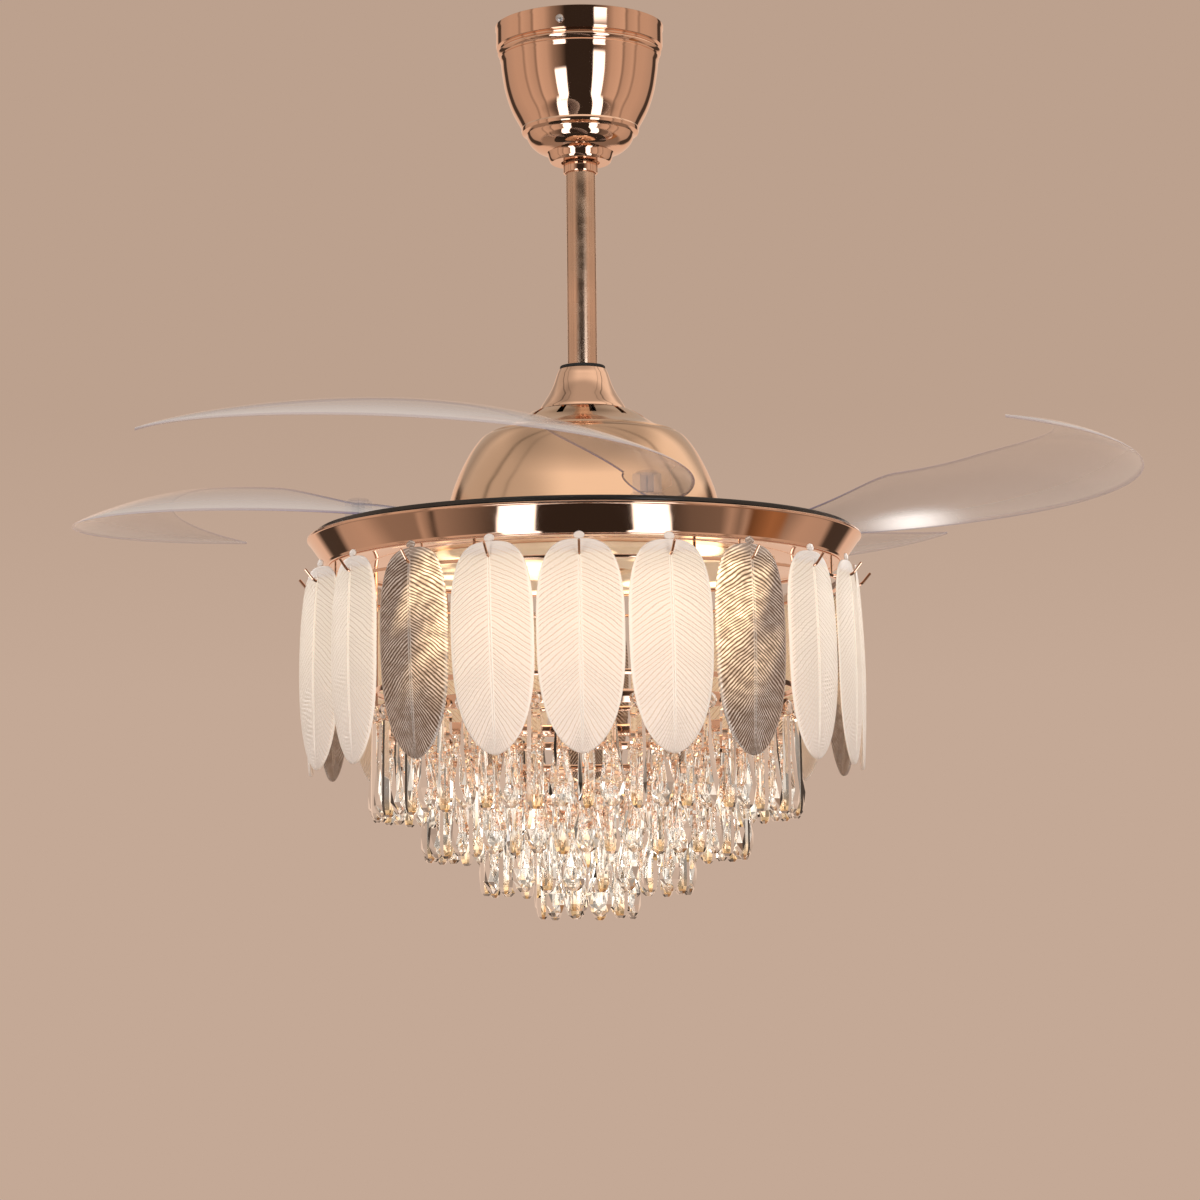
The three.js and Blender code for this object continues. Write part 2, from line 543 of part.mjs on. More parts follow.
function tierFrame() {
  const half = ringWall / 2, pieces = [];
  const band = (radius, bottom, height) => ring(radius - half, radius + half, bottom + height, bottom, 24);
  const heightOf = (tier) => (tier === tiers[0] ? firstRingHeight : ringHeight);
  tiers.forEach((tier) => pieces.push(band(tier.radius, tierBottomZ(tier), heightOf(tier))));
  pieces.push(band(tiers[0].radius, tierBottomZ(tiers[0]) + upperRingRise, upperRingHeight));
  // Each rib drops from the lamp plate to the first ring and then steps in from ring to ring.
  const corners = [[tiers[0].radius, plateBottomZ - seat]];
  tiers.forEach((tier) => corners.push([tier.radius, tierBottomZ(tier) + heightOf(tier) / 2]));
  for (let i = 0; i + 1 < corners.length; i += 1) {
    const [[r0, z0], [r1, z1]] = [corners[i], corners[i + 1]];
    const length = Math.hypot(r1 - r0, z1 - z0);
    const geometry = new THREE.BoxGeometry(ribThickness, ribWidth, length);
    geometry.rotateY(Math.atan2(r1 - r0, z1 - z0)).translate((r0 + r1) / 2, 0, (z0 + z1) / 2);
    for (let rib = 0; rib < ribCount; rib += 1) {
      pieces.push(turnedBy(solidOf(geometry), rib * 360 / ribCount));
    }
  }
  return meshOf('tier_frame', joined(pieces), roseGold);
}

// A four-sided pendant from a point at the top: a long bar, or a teardrop that is widest near its foot.
function pendant(radius, topZ, isBar) {
  const half = crystalWidth / 2, deep = crystalDepth / 2;
  const levels = isBar
    ? [[0, 0.7], [1, 1]]
    : [[0, 0.15], [0.76, 1], [1, 0.2]];
  return lofted(levels.map(([share, width]) => {
    const z = topZ - share * crystalLength, w = half * width, d = deep * width;
    return [[radius - d, -w, z], [radius + d, -w, z], [radius + d, w, z], [radius - d, w, z]];
  }));
}

// The tier's crystals hang from one wire below its ring.
function crystals(tier, number) {
  const wireZ = tierBottomZ(tier) - seat - wireRadius, step = 360 / tier.count;
  const inner = tier.radius - wireRadius, outer = tier.radius + wireRadius;
  const pieces = [ring(inner, outer, wireZ + wireRadius, wireZ - wireRadius, tier.count)];
  for (let i = 0; i < tier.count; i += 1) {
    pieces.push(turnedBy(pendant(tier.radius, wireZ, i % 2 === 0), (i + 0.5) * step));
  }
  return meshOf(`crystals_${number}`, joined(pieces), crystal);
}

// ---------------------------------------------------------------- the whole fan
const fan = new THREE.Group();
const motor = motorParts();
fan.add(hangerParts(), ...rodParts(), ...motor.fixed, ...motor.turning);
fan.add(meshOf('blade_carrier', bladeCarrier(), blackPlastic));
for (let number = 1; number <= bladeCount; number += 1) fan.add(bladeGroup(number));
fan.add(...drumParts(), featherFrame(), tierFrame());
for (let number = 1; number <= featherCount; number += 1) fan.add(featherGroup(number));
tiers.forEach((tier, i) => fan.add(crystals(tier, i + 1)));

export default fan;
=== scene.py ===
"""Looks of a ceiling fan with four folding clear blades above a chandelier light kit.

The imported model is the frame. Each sub-assembly is a class that holds its sizes, works out its surfaces as numpy
arrays and dresses them. Lengths are metres, angles are degrees counter-clockwise seen from above, from +X.
"""

from __future__ import annotations

import json
import logging
import math
from dataclasses import dataclass, field
from enum import Enum
from typing import Iterable, Sequence

import bpy
import numpy as np
from mathutils import Matrix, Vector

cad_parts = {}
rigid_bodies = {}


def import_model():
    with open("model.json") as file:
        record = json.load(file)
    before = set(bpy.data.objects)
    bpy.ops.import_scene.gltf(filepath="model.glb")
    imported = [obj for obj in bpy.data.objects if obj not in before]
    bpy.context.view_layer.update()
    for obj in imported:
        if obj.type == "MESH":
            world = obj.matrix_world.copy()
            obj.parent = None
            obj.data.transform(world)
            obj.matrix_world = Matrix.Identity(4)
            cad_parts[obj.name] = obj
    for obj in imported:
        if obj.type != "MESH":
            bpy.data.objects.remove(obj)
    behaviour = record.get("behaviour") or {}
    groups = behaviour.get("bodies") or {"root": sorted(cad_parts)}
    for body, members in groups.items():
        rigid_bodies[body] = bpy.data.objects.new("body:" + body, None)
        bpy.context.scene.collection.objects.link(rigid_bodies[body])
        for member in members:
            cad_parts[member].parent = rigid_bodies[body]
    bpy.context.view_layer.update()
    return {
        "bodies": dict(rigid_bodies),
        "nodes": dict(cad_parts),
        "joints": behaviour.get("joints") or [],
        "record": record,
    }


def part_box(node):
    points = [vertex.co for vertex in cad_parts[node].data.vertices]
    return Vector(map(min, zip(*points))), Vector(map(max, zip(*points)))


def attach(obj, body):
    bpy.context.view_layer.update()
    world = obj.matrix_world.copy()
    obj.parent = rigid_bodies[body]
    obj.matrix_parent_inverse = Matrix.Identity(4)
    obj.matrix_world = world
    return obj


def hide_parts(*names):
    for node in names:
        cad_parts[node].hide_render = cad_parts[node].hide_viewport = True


log = logging.getLogger("ceiling_fan")

Array = np.ndarray
Colour = tuple[float, float, float]
MM = 0.001
FRONT = -90.0
CARRIER_SHEET = 4.5 * MM


# ------------------------------------------------------------------------------------------------ surfaces
@dataclass(frozen=True)
class Skin:
    """A surface as arrays.

    Args:
        points: corner places, shape (n, 3), in metres.
        quads: four corner numbers for each face, shape (m, 4).
    """

    points: Array
    quads: Array

    def __add__(self, other: Skin) -> Skin:
        """Both surfaces as one."""
        return Skin(np.vstack([self.points, other.points]), np.vstack([self.quads, other.quads + len(self.points)]))

    def moved(self, x: float = 0.0, y: float = 0.0, z: float = 0.0) -> Skin:
        """The surface shifted."""
        return Skin(self.points + np.array([x, y, z]), self.quads)

    def turned(self, degrees: float) -> Skin:
        """The surface turned about the Z axis."""
        return Skin(self.points @ turn_z(degrees).T, self.quads)

    def spread(self, angles: Array) -> Skin:
        """Copies of the surface turned about the Z axis, one for each angle.

        Args:
            angles: degrees, shape (k,).

        Returns:
            All the copies as one surface.
        """
        turns = np.stack([turn_z(angle) for angle in angles])
        points = np.einsum("kij,nj->kni", turns, self.points).reshape(-1, 3)
        shifts = np.arange(len(angles))[:, None, None] * len(self.points)
        return Skin(points, (self.quads[None] + shifts).reshape(-1, 4))


def turn_z(degrees: float) -> Array:
    """The 3 by 3 matrix of a turn about the Z axis."""
    c, s = math.cos(math.radians(degrees)), math.sin(math.radians(degrees))
    return np.array([[c, -s, 0.0], [s, c, 0.0], [0.0, 0.0, 1.0]])


def together(skins: Iterable[Skin]) -> Skin:
    """Several surfaces as one.

    Args:
        skins: the surfaces, at least one.

    Returns:
        One surface with all their points and faces.
    """
    whole, *rest = list(skins)
    for skin in rest:
        whole = whole + skin
    return whole


def lattice(rows: int, columns: int, ring_rows: bool = False, ring_columns: bool = False) -> Array:
    """Faces between neighbouring points of a grid stored row by row.

    Args:
        rows: number of rows of points.
        columns: number of points in a row.
        ring_rows: whether the last row joins the first.
        ring_columns: whether the last column joins the first.

    Returns:
        Corner numbers, shape (faces, 4).
    """
    r = np.arange(rows if ring_rows else rows - 1)[:, None]
    c = np.arange(columns if ring_columns else columns - 1)[None, :]
    below, beside = (r + 1) % rows, (c + 1) % columns
    corners = [r * columns + c, r * columns + beside, below * columns + beside, below * columns + c]
    return np.stack(np.broadcast_arrays(*corners), axis=-1).reshape(-1, 4)


def loft(loops: Array) -> Skin:
    """A closed body through loops of points, shape (rows, n, 3) with n even.

    Its two ends are closed by faces that zip each half of the end loop to the other half.

    Args:
        loops: places, in order round each loop.

    Returns:
        The closed body.
    """
    rows, n, _ = loops.shape
    i = np.arange(n // 2 - 1)
    start = np.stack([i, n - 1 - i, n - 2 - i, i + 1], axis=1)
    end = start[:, ::-1] + (rows - 1) * n
    return Skin(loops.reshape(-1, 3), np.vstack([lattice(rows, n, ring_columns=True), start, end]))


def revolve(profile: Array, segments: int) -> Skin:
    """A ring: the closed profile of (radius, height) carried round the Z axis.

    Args:
        profile: places, shape (n, 2), in order round the outline.
        segments: how many times it is repeated round the axis.

    Returns:
        The ring.
    """
    angle = np.linspace(0.0, 2 * np.pi, segments, endpoint=False)[:, None]
    radius, height = profile[None, :, 0], profile[None, :, 1]
    points = np.stack(np.broadcast_arrays(radius * np.cos(angle), radius * np.sin(angle), height), axis=-1)
    return Skin(points.reshape(-1, 3), lattice(segments, len(profile), ring_rows=True, ring_columns=True))


def sweep(path: Array, radius: float | Array, sides: int, squash: float = 1.0) -> Skin:
    """A round bar along a path in one plane: circles square to the path's direction, closed at both ends.

    Args:
        path: places along the bar, shape (n, 3).
        radius: one radius, or one for each place.
        sides: number of sides, even.
        squash: the width across the path's plane as a share of the width in it.

    Returns:
        The bar.
    """
    ahead = np.gradient(path, axis=0)
    ahead /= np.linalg.norm(ahead, axis=1, keepdims=True)
    normal = np.cross(path[1] - path[0], path[-1] - path[0])
    if np.linalg.norm(normal) < 1e-9:
        normal = np.cross(ahead[0], [0.0, 0.0, 1.0])
    if np.linalg.norm(normal) < 1e-9:
        normal = np.array([0.0, 1.0, 0.0])
    normal = normal / np.linalg.norm(normal)
    side = np.cross(normal, ahead)
    angle = np.linspace(0.0, 2 * np.pi, sides, endpoint=False)[None, :, None]
    reach = np.broadcast_to(radius, len(path))[:, None, None]
    circle = side[:, None] * np.cos(angle) + normal[None, None] * np.sin(angle) * squash
    return loft(path[:, None] + reach * circle)


def rounded(corners: Array, radius: float, steps: int = 4) -> Array:
    """A closed outline of (radius, height) with each corner cut to a smooth bend.

    Each corner becomes a curve B(t) = (1-t)^2 A + 2t(1-t) P + t^2 C from A to C, which lie `radius` away on its sides.

    Args:
        corners: the outline's corners, shape (n, 2).
        radius: how far from its corner a bend starts, at most 0.45 of the side's length.
        steps: places on each bend.

    Returns:
        The bends' places, shape (n * steps, 2).
    """
    before, after = np.roll(corners, 1, axis=0) - corners, np.roll(corners, -1, axis=0) - corners
    reach = [np.minimum(radius, 0.45 * np.linalg.norm(side, axis=1))[:, None] for side in (before, after)]
    unit = [side / np.linalg.norm(side, axis=1, keepdims=True) for side in (before, after)]
    start, end = corners + unit[0] * reach[0], corners + unit[1] * reach[1]
    t = np.linspace(0.0, 1.0, steps)[None, :, None]
    bend = (1 - t) ** 2 * start[:, None] + 2 * t * (1 - t) * corners[:, None] + t**2 * end[:, None]
    return bend.reshape(-1, 2)


def smooth_through(knots: Array, per_span: int = 6) -> Array:
    """A smooth curve through (radius, height) knots: a cubic between each pair, sloped as their neighbours lie.

    Args:
        knots: places, shape (n, 2).
        per_span: places from one knot to the next.

    Returns:
        The curve's places, from the first knot to the last.
    """
    padded = np.vstack([2 * knots[0] - knots[1], knots, 2 * knots[-1] - knots[-2]])
    a, b, c, d = (padded[i : len(padded) - 3 + i][:, None] for i in range(4))
    t = np.linspace(0.0, 1.0, per_span, endpoint=False)[None, :, None]
    curve = 0.5 * (2 * b + (c - a) * t + (2 * a - 5 * b + 4 * c - d) * t**2 + (3 * b - a - 3 * c + d) * t**3)
    return np.vstack([curve.reshape(-1, 2), knots[-1:]])


def section(inner: float, outer: float, top: float, bottom: float) -> list[list[float]]:
    """The corners of a ring of square section, as (radius, height)."""
    return [[inner, top], [outer, top], [outer, bottom], [inner, bottom]]


def ring(corners: Sequence[Sequence[float]], soften: float, segments: int = 160, steps: int = 4) -> Skin:
    """A turned piece: the outline of (radius, height) with softened corners, carried round the Z axis."""
    return revolve(rounded(np.array(corners), soften, steps), segments)


def piece(name: str, skin: Skin, finish: Finish, body: str, nodes: Sequence[str] = (), crease: float = 35.0,
          marks: dict[str, Array] | None = None) -> bpy.types.Object:
    """Puts a surface into the scene as one piece of the fan.

    Args:
        name: the piece's name.
        skin: its surface.
        finish: what it is made of.
        body: the moving body that carries it.
        nodes: the plain solids that it stands for.
        crease: edges sharper than this many degrees stay crisp; 0 leaves every facet flat.
        marks: numbers for each point, by name, that its finish reads.

    Returns:
        The new object.
    """
    mesh = bpy.data.meshes.new(name)
    count = len(skin.quads)
    mesh.vertices.add(len(skin.points))
    mesh.vertices.foreach_set("co", skin.points.astype(np.float32).ravel())
    mesh.loops.add(4 * count)
    mesh.loops.foreach_set("vertex_index", skin.quads.astype(np.int32).ravel())
    mesh.polygons.add(count)
    mesh.polygons.foreach_set("loop_start", np.arange(0, 4 * count, 4, dtype=np.int32))
    mesh.polygons.foreach_set("use_smooth", np.full(count, crease > 0.0))
    mesh.update(calc_edges=True)
    mesh.validate()
    if crease > 0.0:
        mesh.set_sharp_from_angle(angle=math.radians(crease))
    for mark, values in (marks or {}).items():
        mesh.attributes.new(mark, "FLOAT", "POINT").data.foreach_set("value", values.astype(np.float32))
    mesh.materials.append(finish.material())
    thing = bpy.data.objects.new(name, mesh)
    bpy.context.scene.collection.objects.link(thing)
    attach(thing, body)
    if nodes:
        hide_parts(*nodes)
    log.info("%s: %d faces on %s", name, count, body)
    return thing


# ------------------------------------------------------------------------------------------------ node trees
class Tree:
    """Short ways to add nodes to a node tree. A source is a socket, a number, a vector or a colour."""

    def __init__(self, tree: bpy.types.NodeTree) -> None:
        """Works on that tree."""
        self.tree = tree

    def feed(self, socket: bpy.types.NodeSocket, source: object) -> None:
        """Links a socket to a source, or sets it; a colour gets its alpha here.

        Args:
            socket: an input socket.
            source: what goes into it.
        """
        if isinstance(source, bpy.types.NodeSocket):
            self.tree.links.new(source, socket)
        else:
            socket.default_value = (*source, 1.0) if socket.type == "RGBA" else source

    def add(self, kind: str, sources: dict, output: int | str = 0, **settings: object) -> bpy.types.NodeSocket:
        """Adds a node.

        Args:
            kind: its type, without "ShaderNode".
            sources: what goes into its sockets, by their name or number.
            output: the socket that it is read from.
            settings: its other settings.

        Returns:
            The output socket.
        """
        node = self.tree.nodes.new(f"ShaderNode{kind}")
        for name, value in settings.items():
            setattr(node, name, value)
        for socket, source in sources.items():
            self.feed(node.inputs[socket], source)
        return node.outputs[output]

    def reckon(self, operation: str, first: object, second: object) -> bpy.types.NodeSocket:
        """One step of arithmetic."""
        return self.add("Math", {0: first, 1: second}, operation=operation)

    def product(self, *factors: object) -> bpy.types.NodeSocket:
        """All the factors multiplied.

        Args:
            factors: two or more sources.

        Returns:
            The output socket.
        """
        whole, *rest = factors
        for factor in rest:
            whole = self.reckon("MULTIPLY", whole, factor)
        return whole

    def blend(self, share: object, first: object, second: object) -> bpy.types.NodeSocket:
        """A colour between two, by a number from 0 to 1."""
        return self.add("Mix", {"Factor": share, "A": first, "B": second}, 2, data_type="RGBA")

    def between(self, source: object, low: float, high: float, start: float = 0.3, end: float = 0.7,
                curve: str = "LINEAR") -> bpy.types.NodeSocket:
        """A number carried from the range start to end onto the range low to high."""
        sources = {"Value": source, "From Min": start, "From Max": end, "To Min": low, "To Max": high}
        return self.add("MapRange", sources, interpolation_type=curve)

    def eased(self, source: object, start: float, end: float, low: float = 0.0, high: float = 1.0) -> object:
        """A number that eases from low to high while the source goes from start to end."""
        return self.between(source, low, high, start, end, "SMOOTHSTEP")

    def ramp(self, source: object, stops: Sequence[tuple[float, Sequence[float]]]) -> bpy.types.NodeSocket:
        """A colour ramp through (place, colour) stops.

        Args:
            source: the place on the ramp, from 0 to 1.
            stops: places and linear colours.

        Returns:
            The colour's output socket.
        """
        colour = self.add("ValToRGB", {"Fac": source}, "Color")
        bands = colour.node.color_ramp.elements
        while len(bands) < len(stops):
            bands.new(0.5)
        for band, (place, _) in zip(bands, stops):
            band.position = place
        for band, (_, shade) in zip(bands, stops):
            band.color = (*(float(part) for part in shade), 1.0)
        return colour


class Graph(Tree):
    """A material's nodes round one Principled shader."""

    def __init__(self, name: str) -> None:
        """Starts an empty material of that name.

        Args:
            name: the material's name.
        """
        self.material = bpy.data.materials.new(name)
        self.material.use_nodes = True
        super().__init__(self.material.node_tree)
        self.shader = self.tree.nodes["Principled BSDF"]
        self.place = self.add("TexCoord", {}, "Object")

    def set(self, **sources: object) -> None:
        """Feeds the shader's sockets; a name's underscores stand for spaces."""
        for name, source in sources.items():
            self.feed(self.shader.inputs[name.replace("_", " ")], source)

    def noise(self, scale: float, detail: float = 3.0, stretch: tuple[float, float, float] = (1.0, 1.0, 1.0)) -> object:
        """Cloudy noise, `scale` lumps to the metre, with places stretched along each axis."""
        place = self.add("Mapping", {"Vector": self.place, "Scale": stretch})
        return self.add("TexNoise", {"Vector": place, "Scale": scale, "Detail": detail})

    def mark(self, name: str) -> bpy.types.NodeSocket:
        """A number that the piece carries for each point."""
        return self.add("Attribute", {}, "Fac", attribute_name=name)

    def bump(self, source: object, depth: float) -> None:
        """Relief from a number, `depth` metres deep."""
        self.set(Normal=self.add("Bump", {"Height": source, "Strength": 1.0, "Distance": depth}))


# ------------------------------------------------------------------------------------------------ finishes
# Lumps to the metre of the drift in every finish's colour and of the spread of its roughness.
CLOUDS = 9.0
SPECKS = 60.0


@dataclass(frozen=True)
class Finish:
    """What a piece is made of. Its material is made once and shared.

    Args:
        name: the material's name.
        slot: the record's material slot.
        colour: its main colour, linear.
        worn: the colour that it drifts towards.
        roughness: the range that its roughness wanders over.
    """

    name: str
    slot: str
    colour: Colour
    worn: Colour
    roughness: tuple[float, float]

    def material(self) -> bpy.types.Material:
        """The finish's material, from an earlier piece if there was one.

        Returns:
            The material.
        """
        found = bpy.data.materials.get(self.name)
        if found is not None:
            return found
        graph = Graph(self.name)
        self.paint(graph)
        return graph.material

    def paint(self, graph: Graph) -> None:
        """Lays the colour drift and the roughness that every finish has.

        Args:
            graph: the material's nodes.
        """
        drift = graph.between(graph.noise(CLOUDS), 0.0, 1.0)
        graph.set(Base_Color=graph.blend(drift, self.colour, self.worn),
                  Roughness=graph.between(graph.noise(SPECKS, 5.0), *self.roughness))


@dataclass(frozen=True)
class Plated(Finish):
    """Metal plate.

    Args:
        ripple: depth of the waves that make its reflections wobble, in metres.
        waves: waves to the metre.
        grain: stretch of the waves along each axis.
    """

    ripple: float = 8e-5
    waves: float = 22.0
    grain: tuple[float, float, float] = (1.0, 1.0, 0.6)

    def paint(self, graph: Graph) -> None:
        """Metal with faint polishing waves.

        Args:
            graph: the material's nodes.
        """
        super().paint(graph)
        graph.set(Metallic=1.0)
        graph.bump(graph.noise(self.waves, 2.0, self.grain), self.ripple)


@dataclass(frozen=True)
class Painted(Finish):
    """Paint, rubber or moulded plastic.

    Args:
        grain_size: lumps of surface grain to the metre.
        grain_depth: depth of the grain, in metres.
    """

    grain_size: float = 900.0
    grain_depth: float = 1.5e-5

    def paint(self, graph: Graph) -> None:
        """Fine even grain."""
        super().paint(graph)
        graph.bump(graph.noise(self.grain_size, 2.0), self.grain_depth)


@dataclass(frozen=True)
class Acrylic(Finish):
    """Clear sheet with a hard gloss and painted light. Its marks are "rim" on cut edges, where a dark line is painted,
    "sheen" on its top, a painted sheen, and "flash" under a lamp, a painted highlight.

    Args:
        edge: colour of the dark line painted on the cut edge.
        seen: how much of the sheet is seen where it faces the eye.
        sheen: how much more is seen of the painted sheen on its top where it turns away.
        turned: how much of the sheen shows as the sheet starts to turn away, and when it has.
        rim_seen, flash_seen: how much is seen of the painted edge line and of the painted highlight.
        flash_light: strength of the painted highlight's glow.
    """

    edge: Colour = (0.20, 0.16, 0.30)
    seen: float = 0.11
    sheen: float = 0.62
    turned: tuple[float, float] = (0.35, 1.0)
    rim_seen: float = 0.75
    flash_seen: float = 0.85
    flash_light: float = 0.7

    def paint(self, graph: Graph) -> None:
        """Nearly unseen where it faces the eye, with a painted white sheen on top where it turns away, a painted
        highlight where a lamp strikes, and a painted dark line on the cut edges.

        Args:
            graph: the material's nodes.
        """
        super().paint(graph)
        rim, sheen, flash = (graph.mark(name) for name in ("rim", "sheen", "flash"))
        # Under the painted sheen and painted highlight the sheet turns from its worn grey to its white main colour.
        sheet = graph.blend(graph.reckon("MAXIMUM", sheen, flash), self.worn, self.colour)
        turned = graph.between(graph.add("LayerWeight", {"Blend": 0.5}, "Facing"), *self.turned, 0.4, 0.95)
        cover = graph.reckon("ADD", self.seen, graph.product(sheen, turned, self.sheen))
        cover = graph.reckon("MAXIMUM", cover, graph.product(flash, self.flash_seen))
        cover = graph.reckon("MAXIMUM", cover, graph.product(rim, self.rim_seen))
        # The cut edges are painted dark; the painted highlight also glows by emission.
        graph.set(Base_Color=graph.blend(rim, sheet, self.edge), Alpha=cover, IOR=1.5,
                  Emission_Color=(1.0, 0.97, 0.94), Emission_Strength=graph.product(flash, self.flash_light))


@dataclass(frozen=True)
class Crystal(Finish):
    """Cut crystal with a painted amber glint towards the foot of each stone. Its mark "along" is the share of the
    stone's length.

    Args:
        bend: index of refraction.
        amber_glint: colour of the painted amber glint at the foot.
        glint_start: share of the stone's length where the painted glint starts.
    """

    bend: float = 1.48
    amber_glint: Colour = (1.0, 0.66, 0.30)
    glint_start: float = 0.76

    def paint(self, graph: Graph) -> None:
        """Clear and flashing, with a painted amber glint at the foot.

        Args:
            graph: the material's nodes.
        """
        super().paint(graph)
        # The amber towards the foot is a painted glint.
        foot = graph.between(graph.mark("along"), 0.0, 1.0, self.glint_start, 1.0)
        graph.set(Base_Color=graph.blend(foot, self.colour, self.amber_glint), IOR=self.bend, Transmission_Weight=1.0)


@dataclass(frozen=True)
class Pressed(Finish):
    """Pressed glass with barbs and painted light: a glow as if lit from behind, shade and highlights. The piece's mark
    "barb" counts barbs, and "line" is 1 on its veins.

    Args:
        shaded_groove: colour of the painted shade in the grooves between the barbs.
        line: colour of the midrib's lines and of the rim.
        clearness: how much light passes straight through.
        metallic: share of mirror coating.
        glow: colour of the painted glow in the glass, which stands for light from behind.
        glow_strength: its strength behind the upper part.
        gleam: the strength of the painted glint where the mark "gleam" is 1, instead of the glow.
        crest_highlight: how much of the line's colour the barbs' crests show, as a painted highlight.
        pace: painted barbs to each barb of the relief.
        waver: how far the barbs stray, in barbs.
        depth: relief of the painted grooves, in metres.
        shaded: the heights that the painted shade at the top darkens between, and by how much.
        lit_foot, lit_top: the heights that the painted glow starts and ends between.
        shadow: brightness of the colour that the painted shade at the top darkens towards.
        strays, patches: lumps of the barbs' straying, and patches of the painted crest highlights and gleam, to the
            metre.
        patchiness: how strong the crests and the gleam are in the weakest and the strongest patch.
    """

    shaded_groove: Colour = (0.85, 0.68, 0.54)
    line: Colour = (1.0, 0.95, 0.90)
    clearness: float = 0.35
    metallic: float = 0.0
    glow: Colour = (1.0, 0.80, 0.36)
    glow_strength: float = 0.12
    gleam: float = 0.0
    crest_highlight: float = 0.0
    pace: float = 1.0
    waver: float = 0.16
    depth: float = 3.0e-4
    shaded: tuple[float, float, float] = (-0.566, -0.546, 0.35)
    lit_foot: tuple[float, float] = (-0.72, -0.60)
    lit_top: tuple[float, float] = (-0.5435, -0.5385)
    shadow: float = 0.6
    strays: float = 55.0
    patches: float = 95.0
    patchiness: tuple[float, float] = (0.5, 1.15)

    def paint(self, graph: Graph) -> None:
        """Milky or smoky glass, with painted shade in its fine grooves and at its top, and a painted glow, as of a
        light behind it, that starts below its top.

        Args:
            graph: the material's nodes.
        """
        super().paint(graph)
        line, height = graph.mark("line"), graph.add("SeparateXYZ", {0: graph.place}, "Z")
        stray = graph.between(graph.noise(self.strays), -self.waver, self.waver)
        barb = graph.product(graph.reckon("ADD", graph.mark("barb"), stray), self.pace)
        wide = graph.reckon("PINGPONG", barb, 0.5)
        fine = graph.reckon("PINGPONG", graph.product(barb, 2.0), 0.5)
        # The grooves are painted darker, as shade, and dim the glow; they also sink the relief.
        shaded_groove = graph.reckon("MAXIMUM", graph.between(wide, 1.0, 0.0, 0.02, 0.17),
                              graph.between(fine, 0.3, 0.0, 0.02, 0.2))
        shaded_groove = graph.product(shaded_groove, graph.between(line, 1.0, 0.0, 0.0, 0.4))
        # The top is painted darker, as shade.
        low, high, share = self.shaded
        body = graph.blend(graph.between(height, 0.0, share, low, high), self.colour,
                           tuple(self.shadow * part for part in self.colour))
        body = graph.blend(shaded_groove, body, self.shaded_groove)
        # The crests take the line's colour as a painted highlight, in patches.
        patchy = graph.between(graph.noise(self.patches, 2.0, (1.0, 1.0, 1.6)), *self.patchiness, 0.36, 0.62)
        crest_highlight = graph.product(graph.between(wide, 0.0, self.crest_highlight, 0.24, 0.46), patchy)
        # Emission: a painted glint on smoked glass, or a painted glow below the top of milky glass.
        if self.gleam:
            broken = graph.product(graph.between(wide, 0.3, 1.5, 0.06, 0.45), patchy)
            shown = graph.product(graph.mark("gleam"), self.gleam, broken)
        else:
            shown = graph.product(graph.between(height, 0.0, 1.0, *self.lit_foot),
                                  graph.between(height, 1.0, 0.0, *self.lit_top), self.glow_strength)
        graph.set(Base_Color=graph.blend(graph.reckon("MAXIMUM", line, crest_highlight), body, self.line), IOR=1.5,
                  Transmission_Weight=self.clearness, Metallic=self.metallic, Emission_Color=self.glow,
                  Emission_Strength=graph.product(shown, graph.between(shaded_groove, 1.0, 0.12, 0.0, 1.0)))
        graph.bump(graph.reckon("SUBTRACT", 1.0, shaded_groove), self.depth)


@dataclass(frozen=True)
class Lit(Finish):
    """A lit diffuser.

    Args:
        light: colour of its light.
        strength: how bright it is between its lamps and over them.
        patches: patches of light to the metre.
    """

    light: Colour = (1.0, 0.66, 0.34)
    strength: tuple[float, float] = (0.12, 3.0)
    patches: float = 15.0

    def paint(self, graph: Graph) -> None:
        """Opal plastic that shines in patches over its lamps.

        Args:
            graph: the material's nodes.
        """
        super().paint(graph)
        shine = graph.between(graph.noise(self.patches, 1.0), *self.strength, 0.5, 0.64)
        graph.set(Emission_Color=self.light, Emission_Strength=shine)


ROSE_GOLD = Plated("rose_gold_mirror", "rose_gold", (0.86, 0.60, 0.46), (0.83, 0.57, 0.43), (0.03, 0.06))
ROD_GOLD = Plated("rose_gold_tube", "rose_gold", (0.82, 0.59, 0.45), (0.60, 0.46, 0.36), (0.16, 0.32), 5e-5, 60.0)
SATIN_GOLD = Plated("rose_gold_satin", "satin_rose_gold", (0.88, 0.63, 0.46), (0.86, 0.61, 0.44), (0.10, 0.14), 6e-5)
ZINC = Plated("zinc_steel", "steel", (0.60, 0.60, 0.62), (0.48, 0.48, 0.50), (0.3, 0.5), 3e-5, 120.0)
COPPER = Plated("varnished_copper", "copper_windings", (0.55, 0.24, 0.12), (0.40, 0.16, 0.08), (0.35, 0.5), 2e-4, 300.0)
BLACK_PLASTIC = Painted("gloss_black", "black_plastic", (0.014, 0.012, 0.011), (0.02, 0.017, 0.015), (0.16, 0.24))
RUBBER = Painted("black_rubber", "black_rubber", (0.012, 0.012, 0.012), (0.022, 0.021, 0.02), (0.55, 0.75))
GREY_PLASTIC = Painted("grey_plastic", "grey_plastic", (0.09, 0.09, 0.095), (0.07, 0.07, 0.075), (0.45, 0.6))
# The blades' near-white shows only under their painted sheen and painted highlight; elsewhere they show the grey.
ACRYLIC = Acrylic("clear_acrylic", "clear_blade", (0.92, 0.90, 0.90), (0.38, 0.33, 0.35), (0.04, 0.05))
CRYSTAL = Crystal("cut_crystal", "crystal", (1.0, 0.99, 0.98), (0.99, 0.97, 0.94), (0.0, 0.015))
